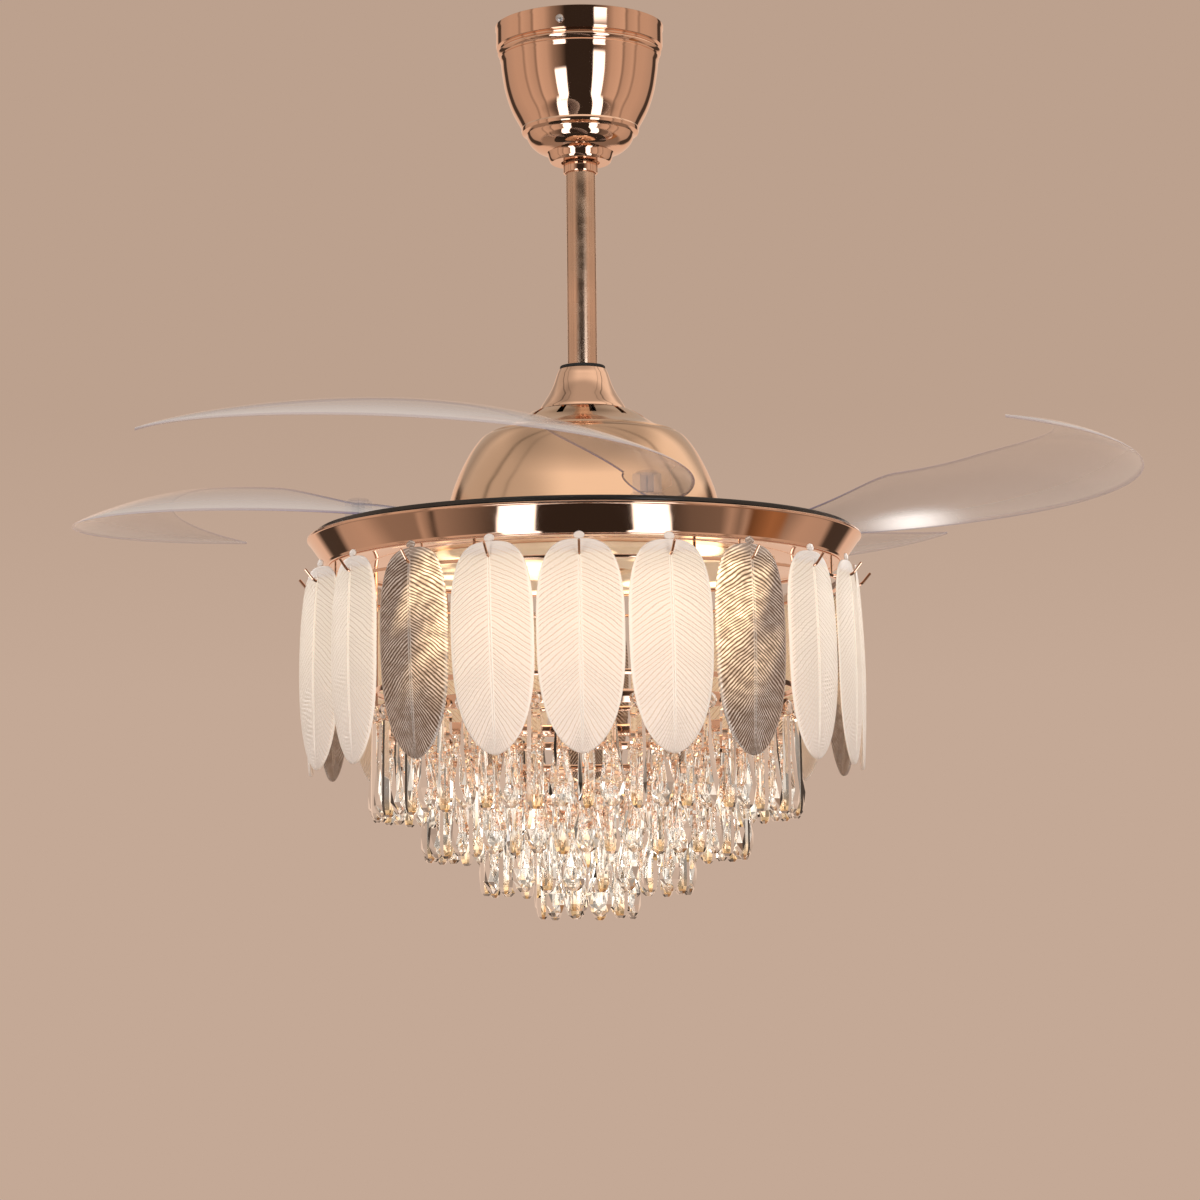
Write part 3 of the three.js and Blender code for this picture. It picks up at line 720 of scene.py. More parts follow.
# Feather glass: painted glow, and painted shade in the grooves and at the top; the smoked glass also has painted crest
# highlights and glints.
FROSTED = Pressed("frosted_glass", "white_glass", (0.98, 0.87, 0.80), (0.96, 0.84, 0.75), (0.35, 0.5),
                  clearness=0.22)
SMOKED = Pressed("smoked_glass", "smoke_glass", (0.27, 0.175, 0.12), (0.17, 0.105, 0.07), (0.12, 0.24),
                 (0.035, 0.02, 0.012), (0.95, 0.87, 0.82), clearness=0.2, metallic=0.5, glow=(0.98, 0.65, 0.36),
                 gleam=1.45, crest_highlight=0.9, pace=1.4)
OPAL = Lit("lit_opal", "opal", (1.0, 0.93, 0.80), (0.98, 0.90, 0.77), (0.4, 0.5))

NODE_FINISHES = {finish.slot: finish for finish in (
    ZINC, COPPER, BLACK_PLASTIC, RUBBER, GREY_PLASTIC, ROSE_GOLD, SATIN_GOLD, OPAL, ACRYLIC, CRYSTAL,
    FROSTED, SMOKED)}


# ------------------------------------------------------------------------------------------------ the frame's measures
@dataclass(frozen=True)
class Node:
    """The measures of one solid of the frame, in metres."""

    name: str

    @property
    def top(self) -> float:
        """Its highest height."""
        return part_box(self.name)[1][2]

    @property
    def bottom(self) -> float:
        """Its lowest height."""
        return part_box(self.name)[0][2]

    @property
    def radius(self) -> float:
        """Half its extent along X, which is the radius of a round piece on the fan's axis."""
        low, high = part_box(self.name)
        return (high[0] - low[0]) / 2


# ------------------------------------------------------------------------------------------------ canopy and rod
@dataclass
class Canopy:
    """The polished bowl against the ceiling, and its two screws.

    Args:
        wall: thickness of the spun sheet.
        hole: radius of the hole that the rod passes.
        screw_angle, screw_drop: where the first screw is; the other is opposite.
    """

    wall: float = 1.2 * MM
    hole: float = 18.5 * MM
    screw_angle: float = -103.0
    screw_drop: float = 14.0 * MM

    def outline(self, radius: float, top: float, height: float) -> Array:
        """The bowl's outside from the rim down: rolled rim, moulded step, swelling bowl and stepped foot.

        Its knots are shares of the bowl's radius and height.

        Args:
            radius: of the rim.
            top: height of the rim's top.
            height: of the whole bowl.

        Returns:
            Places as (radius, height).
        """
        rim = np.array([[0.985, 0.004], [1.0, 0.01], [1.0, 0.03], [0.99, 0.05], [0.992, 0.146], [0.985, 0.165]])
        step = np.array([[0.955, 0.176], [0.950, 0.184], [0.966, 0.192], [0.972, 0.204], [0.963, 0.216], [0.943, 0.226],
                         [0.940, 0.236], [0.948, 0.246], [0.942, 0.262]])
        bowl = smooth_through(np.array([[0.936, 0.27], [0.92, 0.359], [0.882, 0.486], [0.81, 0.616], [0.706, 0.735]]))
        foot = np.array([[0.693, 0.75], [0.7, 0.765], [0.69, 0.785], [0.645, 0.797]])
        cup = smooth_through(np.array([[0.638, 0.802], [0.62, 0.835], [0.579, 0.872], [0.509, 0.907], [0.43, 0.925]]))
        neck = np.array([[0.40, 0.93], [0.385, 0.945], [0.375, 0.97], [0.36, 0.992], [0.345, 1.0]])
        share = np.vstack([rim, step, bowl, foot, cup, neck])
        return np.stack([share[:, 0] * radius, top - share[:, 1] * height], axis=1)

    def build(self) -> None:
        """Makes the bowl and its screws."""
        node = Node("canopy")
        outer = self.outline(node.radius, 0.0, -node.bottom)
        outer = np.vstack([outer, [self.hole, node.bottom]])
        inner = outer * [1 - self.wall / node.radius, 1 - self.wall / -node.bottom]
        inner[-1] = [self.hole, node.bottom + self.wall]
        inner[0, 1] = outer[0, 1]
        piece("canopy_bowl", revolve(np.vstack([outer, inner[::-1]]), 160), ROSE_GOLD, "hanger", ["canopy"])
        for number, angle in ((1, self.screw_angle), (2, self.screw_angle + 180.0)):
            self.screw(number, angle, node.radius)

    def screw(self, number: int, angle: float, radius: float) -> None:
        """A pan-head screw whose axis points out of the bowl at that angle.

        Args:
            number: 1 or 2.
            angle: the screw's direction from the axis.
            radius: where its head meets the bowl.
        """
        reach = np.array([-9.0, 0.3, 0.3, 1.2, 2.2, 2.9, 3.1]) * MM
        girth = np.array([1.8, 1.8, 4.0, 4.0, 3.5, 2.2, 0.3]) * MM
        path = np.stack([radius + reach, 0 * reach, 0 * reach - self.screw_drop], axis=1)
        around = np.linspace(0, 2 * np.pi, 24, endpoint=False)[None, :]
        loops = np.stack(np.broadcast_arrays(path[:, :1], girth[:, None] * np.cos(around),
                                             path[:, 2:] + girth[:, None] * np.sin(around)), axis=-1)
        piece(f"pan_screw_{number}", loft(loops).turned(angle), ZINC, "hanger", [f"canopy_screw_{number}"])


@dataclass
class DropRod:
    """The rod with its collar, gasket and the flared cover over the coupling.

    Args:
        rod_bore, clearance: bores of the rod and of what it passes through.
        cover_top, cover_wall: the cover's upper radius and its sheet.
    """

    rod_bore: float = 12.0 * MM
    clearance: float = 14.3 * MM
    cover_top: float = 22.5 * MM
    cover_wall: float = 1.6 * MM

    def build(self) -> None:
        """Makes the four turned pieces."""
        for name, node_name, bore, finish, soften in (
                ("rod_tube", "downrod", self.rod_bore, ROD_GOLD, 0.6 * MM),
                ("rod_trim", "rod_collar", self.clearance, ROSE_GOLD, 1.6 * MM),
                ("gasket_ring", "cover_gasket", self.clearance, RUBBER, 1.2 * MM)):
            node = Node(node_name)
            sleeve = ring(section(bore, node.radius, node.top, node.bottom), soften, 96)
            piece(name, sleeve, finish, "fan", [node_name])
        cover = Node("coupling_cover")
        share = np.array([[0.0, 0.0], [0.09, 0.1], [0.16, 0.2], [0.31, 0.4], [0.52, 0.6], [0.76, 0.78], [0.94, 0.92],
                          [1.0, 1.0]])
        top_radius, height = self.cover_top, cover.top - cover.bottom
        radius = top_radius + (cover.radius - top_radius) * share[:, 0]
        outer = smooth_through(np.stack([radius, cover.top - height * share[:, 1]], axis=1))
        outer = np.vstack([[self.clearance + 0.3 * MM, cover.top], [top_radius - 1.5 * MM, cover.top], outer])
        inner = outer - [self.cover_wall, 0.0]
        inner[:2] = outer[:2] - [0.0, self.cover_wall]
        piece("flared_cover", revolve(np.vstack([outer, inner[::-1]]), 128), ROSE_GOLD, "fan", ["coupling_cover"])


# ------------------------------------------------------------------------------------------------ dome
@dataclass
class Dome:
    """The spun cover over the motor, with its ring of cooling slots.

    Args:
        wall: thickness of the sheet.
        hole: radius of the hole under the coupling.
        slots: number of slots.
        slot_inner, slot_outer: the radii that a slot runs between.
        slot_steps: columns of the surface that a slot takes up, of those between two slots.
        slot_first: the column where the first slot starts.
    """

    wall: float = 1.4 * MM
    hole: float = 20.0 * MM
    slots: int = 12
    slot_inner: float = 45.0 * MM
    slot_outer: float = 61.5 * MM
    slot_steps: tuple[int, int] = (4, 20)
    slot_first: int = 4

    def profile(self, node: Node) -> Array:
        """The outside from the hole outwards and down: flat crown, crowned shoulder, crease, and the big round.

        Args:
            node: the dome of the frame.

        Returns:
            Places as (radius, height).
        """
        crown = np.array([[0.29, 0.0], [0.313, 0.001], [0.345, 0.006], [0.371, 0.013]])
        slope = smooth_through(np.array([[0.371, 0.013], [0.43, 0.055], [0.48, 0.095], [0.545, 0.138],
                                         [0.61, 0.17]]), 5)
        crease = np.array([[0.64, 0.181], [0.668, 0.188], [0.68, 0.193], [0.684, 0.2], [0.69, 0.209]])
        big = smooth_through(np.array([[0.7, 0.212], [0.742, 0.24], [0.815, 0.348], [0.885, 0.496], [0.939, 0.644],
                                       [0.968, 0.76], [0.988, 0.88], [0.994, 0.95]]), 6)
        lip = np.array([[1.0, 0.965], [1.0, 0.99], [0.995, 1.0]])
        share = np.vstack([[self.hole / node.radius, 0.0], crown, slope[1:], crease, big, lip])
        return np.stack([share[:, 0] * node.radius, node.top - share[:, 1] * (node.top - node.bottom)], axis=1)

    def build(self) -> None:
        """Makes the shell: two skins a wall apart, open at the slots, with the slots' edges closed."""
        node = Node("dome_cover")
        outer = self.profile(node)
        inner = outer - [self.wall, 0.0]
        flat = outer[:, 1] > node.top - 0.2 * (node.top - node.bottom)
        inner[flat] = outer[flat] - [0.35 * self.wall, self.wall]
        inner[0] = outer[0] - [0.0, self.wall]
        rows, columns = len(outer), self.slots * self.slot_steps[1]
        angle = np.radians(np.arange(columns) * 360.0 / columns)[None, :]
        skins = [np.stack(np.broadcast_arrays(p[:, :1] * np.cos(angle), p[:, :1] * np.sin(angle), p[:, 1:]), axis=-1)
                 for p in (outer, inner)]
        middle = 0.5 * (outer[1:, 0] + outer[:-1, 0])
        in_rows = (middle > self.slot_inner) & (middle < self.slot_outer)
        in_columns = (np.arange(columns) - self.slot_first) % self.slot_steps[1] < self.slot_steps[0]
        open_face = in_rows[:, None] & in_columns[None, :]
        r, c = np.nonzero(~open_face)
        beside = (c + 1) % columns
        layer = rows * columns
        front = np.stack([r * columns + c, (r + 1) * columns + c, (r + 1) * columns + beside, r * columns + beside], 1)
        quads = [front, front[:, ::-1] + layer, self.edges(open_face, layer)]
        ends = np.arange(columns)
        for row, flip in ((0, 1), (rows - 1, -1)):
            a, b = row * columns + ends, row * columns + (ends + 1) % columns
            quads.append(np.stack([a, b, b + layer, a + layer], axis=1)[:, ::flip])
        skin = Skin(np.vstack([s.reshape(-1, 3) for s in skins]), np.vstack(quads))
        piece("motor_dome", skin, SATIN_GOLD, "fan", ["dome_cover"], crease=28.0)

    @staticmethod
    def edges(open_face: Array, layer: int) -> Array:
        """The walls between the two skins wherever an open face meets a closed one.

        Args:
            open_face: which faces are left open, by row and column.
            layer: number of points in a skin.

        Returns:
            Corner numbers, shape (faces, 4).
        """
        columns = open_face.shape[1]
        walls = []
        r, c = np.nonzero(open_face & ~np.roll(open_face, 1, axis=1))
        walls.append((r * columns + c, (r + 1) * columns + c))
        r, c = np.nonzero(open_face & ~np.roll(open_face, -1, axis=1))
        walls.append(((r + 1) * columns + (c + 1) % columns, r * columns + (c + 1) % columns))
        padded = np.vstack([np.zeros((1, columns), bool), open_face, np.zeros((1, columns), bool)])
        r, c = np.nonzero(open_face & ~padded[:-2])
        walls.append((r * columns + (c + 1) % columns, r * columns + c))
        r, c = np.nonzero(open_face & ~padded[2:])
        walls.append(((r + 1) * columns + c, (r + 1) * columns + (c + 1) % columns))
        return np.vstack([np.stack([a, b, b + layer, a + layer], axis=1) for a, b in walls])


# ------------------------------------------------------------------------------------------------ drum
@dataclass
class Drum:
    """The polished band, the carrier disc above it, and the mirror plate and light panel under it.

    Args:
        band_foot, band_wall: the band's lower radius and its sheet.
        lip: height of the rolled lips on both its edges.
        plate_sheet, plate_hub: the plate's sheet and its hub's radius.
        shaft_bore, wide_hole: the hole in the plate, and the one in the panel and the carrier.
        carrier_hub: radius of the carrier's hub.
    """

    band_foot: float = 244.0 * MM
    band_wall: float = 1.5 * MM
    lip: float = 2.2 * MM
    plate_sheet: float = 2.0 * MM
    plate_hub: float = 24.0 * MM
    shaft_bore: float = 9.3 * MM
    wide_hole: float = 45.0 * MM
    carrier_hub: float = 75.0 * MM

    def build(self) -> None:
        """Makes the band, plate, panel and carrier."""
        band, plate, panel, carrier = (Node(n) for n in ("drum_band", "lamp_plate", "light_panel", "blade_carrier"))
        wall = self.band_wall
        corners = [
            [band.radius - wall, band.top], [band.radius, band.top], [band.radius, band.top - self.lip],
            [band.radius - 0.9 * MM, band.top - self.lip - 0.4 * MM],
            [self.band_foot + 0.9 * MM, band.bottom + self.lip + 0.4 * MM],
            [self.band_foot + 0.6 * MM, band.bottom + self.lip],
            [self.band_foot, band.bottom], [self.band_foot - wall, band.bottom],
        ]
        piece("mirror_band", ring(corners, 0.5 * MM, 256), ROSE_GOLD, "fan", ["drum_band"])
        sheet, foot = plate.bottom + self.plate_sheet, plate.bottom + 0.6 * MM
        corners = [
            [self.shaft_bore, plate.top], [self.plate_hub, plate.top], [self.plate_hub, sheet], [plate.radius, sheet],
            [plate.radius, plate.bottom], [plate.radius - 14 * MM, plate.bottom], [plate.radius - 15 * MM, foot],
            [plate.radius - 40 * MM, foot], [plate.radius - 41 * MM, plate.bottom], [self.shaft_bore, plate.bottom],
        ]
        piece("mirror_plate", ring(corners, 0.4 * MM, 256, 3), ROSE_GOLD, "fan", ["lamp_plate"])
        hole, foot = self.wide_hole, panel.bottom + 2 * MM
        corners = [[hole, panel.top], [panel.radius, panel.top], [panel.radius, foot],
                   [panel.radius - 5 * MM, panel.bottom], [hole + 5 * MM, panel.bottom], [hole, foot]]
        piece("opal_panel", ring(corners, 1.5 * MM), OPAL, "fan", ["light_panel"])
        top = carrier.bottom + CARRIER_SHEET
        corners = [[hole, carrier.top], [self.carrier_hub, carrier.top], [self.carrier_hub, top], [carrier.radius, top],
                   [carrier.radius, carrier.bottom], [hole, carrier.bottom]]
        piece("carrier_disc", ring(corners, 1.0 * MM, 256), BLACK_PLASTIC, "rotor", ["blade_carrier"])


# ------------------------------------------------------------------------------------------------ blades
@dataclass
class BladeSet:
    """Four clear crescents. Each is drawn folded, in polar form about the fan's axis, then turned out about its pivot.

    Args:
        count, first: number of blades, and the first one's pivot angle.
        opened: how far a blade has turned out.
        pivot: radius of the pivots.
        sweep, head: the crescent's extent ahead of and behind its pivot.
        flashing, flash_angle, flash_width: which blade shows the painted flash of a lamp, and where along its sweep.
        inner, outer, tip: radii of its two edges and of its tip.
        boss_bore, boss_radius: of the clear boss round its pivot.
        taper_start, taper_power: where along the sweep it starts to narrow, and how fast.
        neck, neck_end: the root's width as a share, and where it has grown to full width.
        thickness: of the sheet.
        rise: height gained along each 90 degrees.
        pitch: slope down outwards.
        lift: height of the outer edge at the root above the carrier.
        camber: height of the bow across the blade.
    """

    count: int = 4
    first: float = -75.0
    opened: float = 86.0
    pivot: float = 217.0 * MM
    sweep: float = 166.0
    head: float = 14.0
    flashing: int = 4
    flash_angle: float = 27.0
    flash_width: float = 12.0
    inner: float = 133.0 * MM
    outer: float = 254.0 * MM
    tip: float = 246.0 * MM
    boss_bore: float = 6.3 * MM
    boss_radius: float = 13.0 * MM
    taper_start: float = 0.38
    taper_power: float = 1.8
    neck: float = 0.45
    neck_end: float = 30.0
    thickness: float = 3.0 * MM
    rise: float = 19.0 * MM
    pitch: float = 17.0
    lift: float = 7.0 * MM
    camber: float = 5.0 * MM

    def crescent(self, carrier_top: float) -> tuple[Skin, dict[str, Array]]:
        """The folded blade, and its marks for painted light: a dark line on its cut edges, the sheen on its top, and
        the flash under it near its root.

        Inner and outer radius close onto the tip as 1 - ((u - start) / (1 - start)) ^ power, with u the share of the
        sweep. Height is lift + rise * angle / 90 - tan(pitch) * (r - outer), plus a bow across and less a rounded edge.

        Args:
            carrier_top: height of the carrier's sheet.

        Returns:
            The surface, and its marks by name.
        """
        angle = np.concatenate([-self.head * np.cos(np.linspace(0, np.pi / 2, 14, endpoint=False)),
                                np.linspace(0.0, 1.0, 120) ** 0.92 * self.sweep])[:, None]
        share = np.clip(angle / self.sweep, 0, 1)
        taper = 1 - np.clip((share - self.taper_start) / (1 - self.taper_start), 0, 1) ** self.taper_power
        head = np.sqrt(np.clip(1 - (np.minimum(angle, 0) / self.head) ** 2, 0, 1))
        neck = self.neck + (1 - self.neck) * np.sin(np.clip(angle / self.neck_end, 0, 1) * np.pi / 2)
        low = self.tip - (self.tip - self.inner) * taper * neck * head
        high = self.tip + (self.outer - self.tip) * taper * head
        across = 0.5 - 0.5 * np.cos(np.linspace(0, np.pi, 25))[None, :]
        edge = np.sqrt(np.clip(1 - np.abs(2 * across - 1) ** 14, 0, 1))
        radius = low + (high - low) * across
        level = carrier_top + self.lift + self.rise / 90 * np.maximum(angle, 0)
        slope = math.tan(math.radians(self.pitch)) * (self.outer - radius)
        bow = self.camber * 4 * across * (1 - across) * np.clip((high - low) / 0.1, 0, 1)
        middle = level + slope + bow
        half = 0.5 * self.thickness * np.maximum(edge, 0.12)
        turn = np.radians(-angle)
        flat = [radius * np.cos(turn), radius * np.sin(turn)]
        upper = np.stack([*flat, middle + half], axis=-1)
        lower = np.stack([*flat, middle - half], axis=-1)
        # Painted light: a dark line on the cut edges, strongest near the root, a sheen on the top face, and a highlight
        # under the blade near its root.
        rim = np.clip((np.abs(2 * across - 1) - 0.94) / 0.03, 0, 1) * (0.4 + 0.6 * np.exp(-share / 0.15))
        flash = np.exp(-(((angle - self.flash_angle) / self.flash_width) ** 2))
        flash = flash * np.clip((across - 0.62) / 0.2, 0, 1) * np.clip((1 - across) / 0.04, 0, 1)
        faces = {"rim": (rim, rim), "sheen": (0 * flash, across**1.4 + 0 * flash), "flash": (flash, 0 * flash)}
        marks = {name: np.hstack([under, over[:, ::-1]]).ravel() for name, (under, over) in faces.items()}
        return loft(np.concatenate([lower, upper[:, ::-1]], axis=1)), marks

    def hub(self, number: int, carrier_top: float) -> Skin:
        """The clear boss round the pivot.

        Args:
            number: the blade's.
            carrier_top: height of the carrier's sheet.

        Returns:
            The boss, in place on a blade that points along X.
        """
        node = Node(f"blade_pivot_{number}")
        top, bottom = node.top - 3.0 * MM, carrier_top + 7.0 * MM
        return ring(section(self.boss_bore, self.boss_radius, top, bottom), 1.0 * MM, 48).moved(x=self.pivot)

    def post(self, number: int, carrier_top: float) -> Skin:
        """The clear pivot: foot, pin and domed cap in one turned body.

        Args:
            number: the blade's.
            carrier_top: height of the carrier's sheet.

        Returns:
            The pivot, in place on a blade that points along X.
        """
        top = Node(f"blade_pivot_{number}").top
        cap, foot = top - 2.7 * MM, carrier_top + 6.6 * MM
        corners = [
            [0.3 * MM, top + 0.6 * MM], [6 * MM, top], [10 * MM, top - 1 * MM], [10 * MM, cap], [6 * MM, cap],
            [6 * MM, foot], [15 * MM, foot], [15 * MM, carrier_top + 0.3 * MM], [0.3 * MM, carrier_top + 0.3 * MM],
        ]
        return ring(corners, 0.6 * MM, 48).moved(x=self.pivot)

    def build(self) -> None:
        """Makes the four blades and their pivots."""
        carrier_top = Node("blade_carrier").bottom + CARRIER_SHEET
        crescent, marks = self.crescent(carrier_top)
        flash = marks["flash"]
        for number in range(1, self.count + 1):
            around = self.first - (number - 1) * 360.0 / self.count
            hub = self.hub(number, carrier_top)
            blade = (crescent + hub).moved(x=-self.pivot).turned(self.opened).moved(x=self.pivot).turned(around)
            # Only one blade carries the painted highlight.
            marks["flash"] = flash * (number == self.flashing)
            # The boss takes a little of each painted mark.
            whole = {name: np.concatenate([values, np.full(len(hub.points), 0.12)]) for name, values in marks.items()}
            piece(f"clear_blade_{number}", blade, ACRYLIC, f"blade_{number}", [f"blade_{number}"], 40.0, whole)
            post = self.post(number, carrier_top).turned(around)
            # The post takes a little of the painted dark edge colour.
            piece(f"pivot_post_{number}", post, ACRYLIC, "rotor", [f"blade_pivot_{number}"],
                  marks={"rim": np.full(len(post.points), 0.15)})


# ------------------------------------------------------------------------------------------------ feathers
@dataclass
class FeatherCurtain:
    """Twenty pressed-glass feathers on hooks round the drum.

    Args:
        count: number of feathers.
        first: turn of the first feather from the front.
        width, length, thickness: of one feather.
        bow: how far it bows outwards.
        cup: how far its rim lies behind its midrib.
        widest: share of the leaf's length where it is widest.
        barb: distance between barbs.
        relief: height of the barbs.
        barb_slopes, barb_curls: how steeply barbs run down and how much they curl, each against the share of the
            leaf's length where they leave the midrib.
        nub, nub_end: width of the round nub at the top as a share, and the share of the length where it ends.
        hole_drop: the hook hole below the top.
        hook_radius: thickness of the hook wire.
        ring_radius: outside of the hook ring.
        reach: the feather's middle surface outside the ring, at its hook.
        lean: the slope that the feathers hang at.
        gleams: how the smoked feathers' painted glint leans across them, on the fan's right and left.
        skew: feathers that hang a little askew on their hooks, in degrees by number.
        twist: feathers that are turned a little about their hooks' upright ends, in degrees by number.
    """

    count: int = 20
    first: float = -1.0
    width: float = 77.8 * MM
    length: float = 195.0 * MM
    thickness: float = 4.6 * MM
    bow: float = 4.0 * MM
    cup: float = 4.0 * MM
    widest: float = 0.4
    barb: float = 4.3 * MM
    relief: float = 0.6 * MM
    barb_slopes: tuple[tuple[float, ...], ...] = ((0.0, 0.15, 0.34, 0.45, 0.65, 0.78, 0.9, 1.0),
                                                  (0.28, 0.36, 0.5, 0.62, 1.0, 1.6, 2.8, 4.2))
    barb_curls: tuple[tuple[float, ...], ...] = ((0.0, 0.4, 0.8), (6.0, 3.5, 0.0))
    nub: float = 0.125
    nub_end: float = 0.035
    hole_drop: float = 20.4 * MM
    hook_radius: float = 1.2 * MM
    ring_radius: float = 242.7 * MM
    reach: float = 13.0 * MM
    lean: float = 0.0206
    gleams: tuple[float, float] = (-0.7, 0.75)
    skew: dict[int, float] = field(default_factory=lambda: {
        17: -1.5, 18: -2.4, 19: -2.8, 20: -2.0, 1: -0.5, 2: -0.4, 3: 0.6, 6: 0.8, 10: -0.8})
    twist: dict[int, float] = field(default_factory=lambda: {17: 15.0})

    def half_width(self, share: Array) -> Array:
        """Half the width at a share of the length: a round nub, full shoulders, and a long taper to a blunt tip.

        With u the share below the nub and w the widest place, the leaf is (1 - (1 - u / w) ^ 2.6) ^ 0.3 above w, and
        (1 - ((u - w) / (1 - w)) ^ 3) ^ 0.58 below it.

        Args:
            share: shares of the feather's length from its top.

        Returns:
            Half widths, in metres.
        """
        nub_end = self.nub_end
        u = np.clip((share - nub_end) / (1 - nub_end), 0, 1)
        upper = (1 - np.clip(1 - u / self.widest, 0, 1) ** 2.6) ** 0.303
        lower = (1 - np.clip((u - self.widest) / (1 - self.widest), 0, 0.9995) ** 3) ** 0.58
        leaf = np.where(u < self.widest, upper, lower)
        knob = self.nub * np.sqrt(np.clip(1 - ((share - nub_end * 0.55) / (nub_end * 0.55)) ** 2, 0.02, 1))
        return 0.5 * self.width * np.maximum(np.where(share < nub_end, knob, 0.0), leaf)

    def barbs(self, depth: Array, reach: Array, variant: float) -> Array:
        """How many barbs lie above a place `depth` down the feather and `reach` out from its midrib.

        A barb that leaves the midrib at depth t runs down to t + slope(t) * reach + curl(t) * reach^2, and the slope
        grows from the shoulders to the tip. Each pass brings t closer to the barb through the place.

        Args:
            depth: distance down the feather.
            reach: distance out from the midrib.
            variant: a number from 0 to 1 that makes this feather's barbs its own.

        Returns:
            The count, with its fraction, at each place.
        """
        start = depth + 0.0 * reach
        for _ in range(12):
            at = start / self.length
            slope = np.interp(at, *self.barb_slopes)
            curl = np.interp(at, *self.barb_curls)
            start = depth - slope * reach - curl * reach**2
        waver = 0.30 * np.sin(start / 0.011 + variant * 5) + 0.16 * np.sin(start / 0.0043 + reach / 0.011 + variant * 9)
        return start / self.barb + waver

    def leaf(self, variant: float, inner: float) -> tuple[Skin, dict[str, Array]]:
        """One feather in the front plane: x across, y thickness with the face at -y, z down from 0.

        Barbs are ridges, the midrib is a double ridge, a bead runs round the rim, and both halves slope back from the
        midrib. Its marks count the barbs, tell the midrib and rim from the rest, and say where the painted glint goes,
        which is more on the side that `inner` points to.

        Args:
            variant: a number from 0 to 1 that makes this feather's barbs its own.
            inner: how the painted glint leans across the feather: its sign is its side.

        Returns:
            The surface, and its marks by name.
        """
        share = np.concatenate([
            np.linspace(0.0005, self.nub_end, 9, endpoint=False), self.nub_end + 0.03 * np.linspace(0, 1, 12) ** 2,
            np.linspace(0.068, 0.97, 270, endpoint=False), 1 - 0.03 * np.linspace(1, 0.02, 14) ** 1.6])[:, None]
        half = self.half_width(share)
        side = np.array([0.0, 0.009, 0.02, 0.03, 0.042, 0.065, 0.12, 0.2, 0.3, 0.4, 0.5, 0.6, 0.7, 0.79, 0.86, 0.91,
                         0.95, 0.975, 0.99, 1.0])
        across = np.concatenate([-side[:0:-1], side])[None, :]
        x, depth, out = across * half, share * self.length, np.abs(across)
        phase = self.barbs(depth, np.abs(x), variant) + 0.37 * (x < 0)
        body = np.clip((share - 0.06) / 0.03, 0, 1)
        vane = np.clip((0.96 - out) / 0.05, 0, 1) * np.clip((out - 0.045) / 0.03, 0, 1) * body
        relief = self.relief * np.abs(np.sin(np.pi * phase)) ** 0.7 * vane
        vein = np.exp(-(((out - 0.028) / 0.012) ** 2)) * body * np.clip((0.99 - share) / 0.1, 0, 1)
        rim = np.exp(-(((out - 0.97) / 0.02) ** 2)) * body
        pad = np.sqrt(np.clip(1 - across**2, 0, 1)) * np.clip(half / (6 * MM), 0.25, 1)
        base = 0.5 * self.thickness * (0.28 + 0.5 * pad)
        edge = np.sqrt(np.clip(1 - out**24, 0.03, 1))
        front = (base + relief + 0.8 * MM * vein + 0.35 * MM * rim) * edge
        mid = -self.bow * (np.sin(np.pi * share) - math.sin(math.pi * self.hole_drop / self.length))
        mid = mid + self.cup * (x / (0.5 * self.width)) ** 2
        face = np.stack(np.broadcast_arrays(x, mid - front, -depth), axis=-1)
        sparse = np.linspace(0, len(across[0]) - 1, 13).astype(int)[::-1]
        back = np.stack(np.broadcast_arrays(x, mid + base * edge * 0.9, -depth), axis=-1)[:, sparse]
        # Where the smoked glass shows its painted glint: below the top, leaning to one side, in ripples.
        lit = np.clip((share - 0.04) / 0.1, 0, 1) * np.clip((0.82 - share) / 0.5, 0, 1)
        ripple = 0.25 * np.sin(share * 17 + across * 4)
        lit = lit * np.clip(0.35 - 0.11 * np.sign(inner) + inner * across - ripple, 0, 1)
        line = np.maximum(np.maximum(vein, 0.8 * rim), 0.25 * (1 - body) + 0 * x)
        marks = {"barb": phase, "gleam": lit, "line": line}
        return loft(np.concatenate([face, back], axis=1)), {
            name: np.hstack([values, values[:, sparse]]).ravel() for name, values in marks.items()}

    def hooks(self, height: float, radius: float) -> Skin:
        """All the wires: each runs out of the ring, through its feather and up at a slant, on one bent path.

        Args:
            height: of the hook holes.
            radius: of the feathers' middle surface at the holes.

        Returns:
            All the wires.
        """
        t = np.linspace(0, 1, 9)[:, None]
        start, bend = np.array([self.ring_radius - 2 * MM, 0, height]), np.array([radius + 4.2 * MM, 0, height])
        end = bend + np.array([9.0, 0.0, 11.0]) * MM
        first, last = bend - [3.5 * MM, 0, 0], bend + 0.3 * (end - bend)
        corner = (1 - t) ** 2 * first + 2 * t * (1 - t) * bend + t**2 * last
        path = np.vstack([start, corner, end, end + 0.03 * (end - bend)])
        girth = np.full(len(path), self.hook_radius)
        girth[-1] *= 0.6
        angles = FRONT + self.first + np.arange(self.count) * 360.0 / self.count
        return sweep(path, girth, 10).spread(angles)

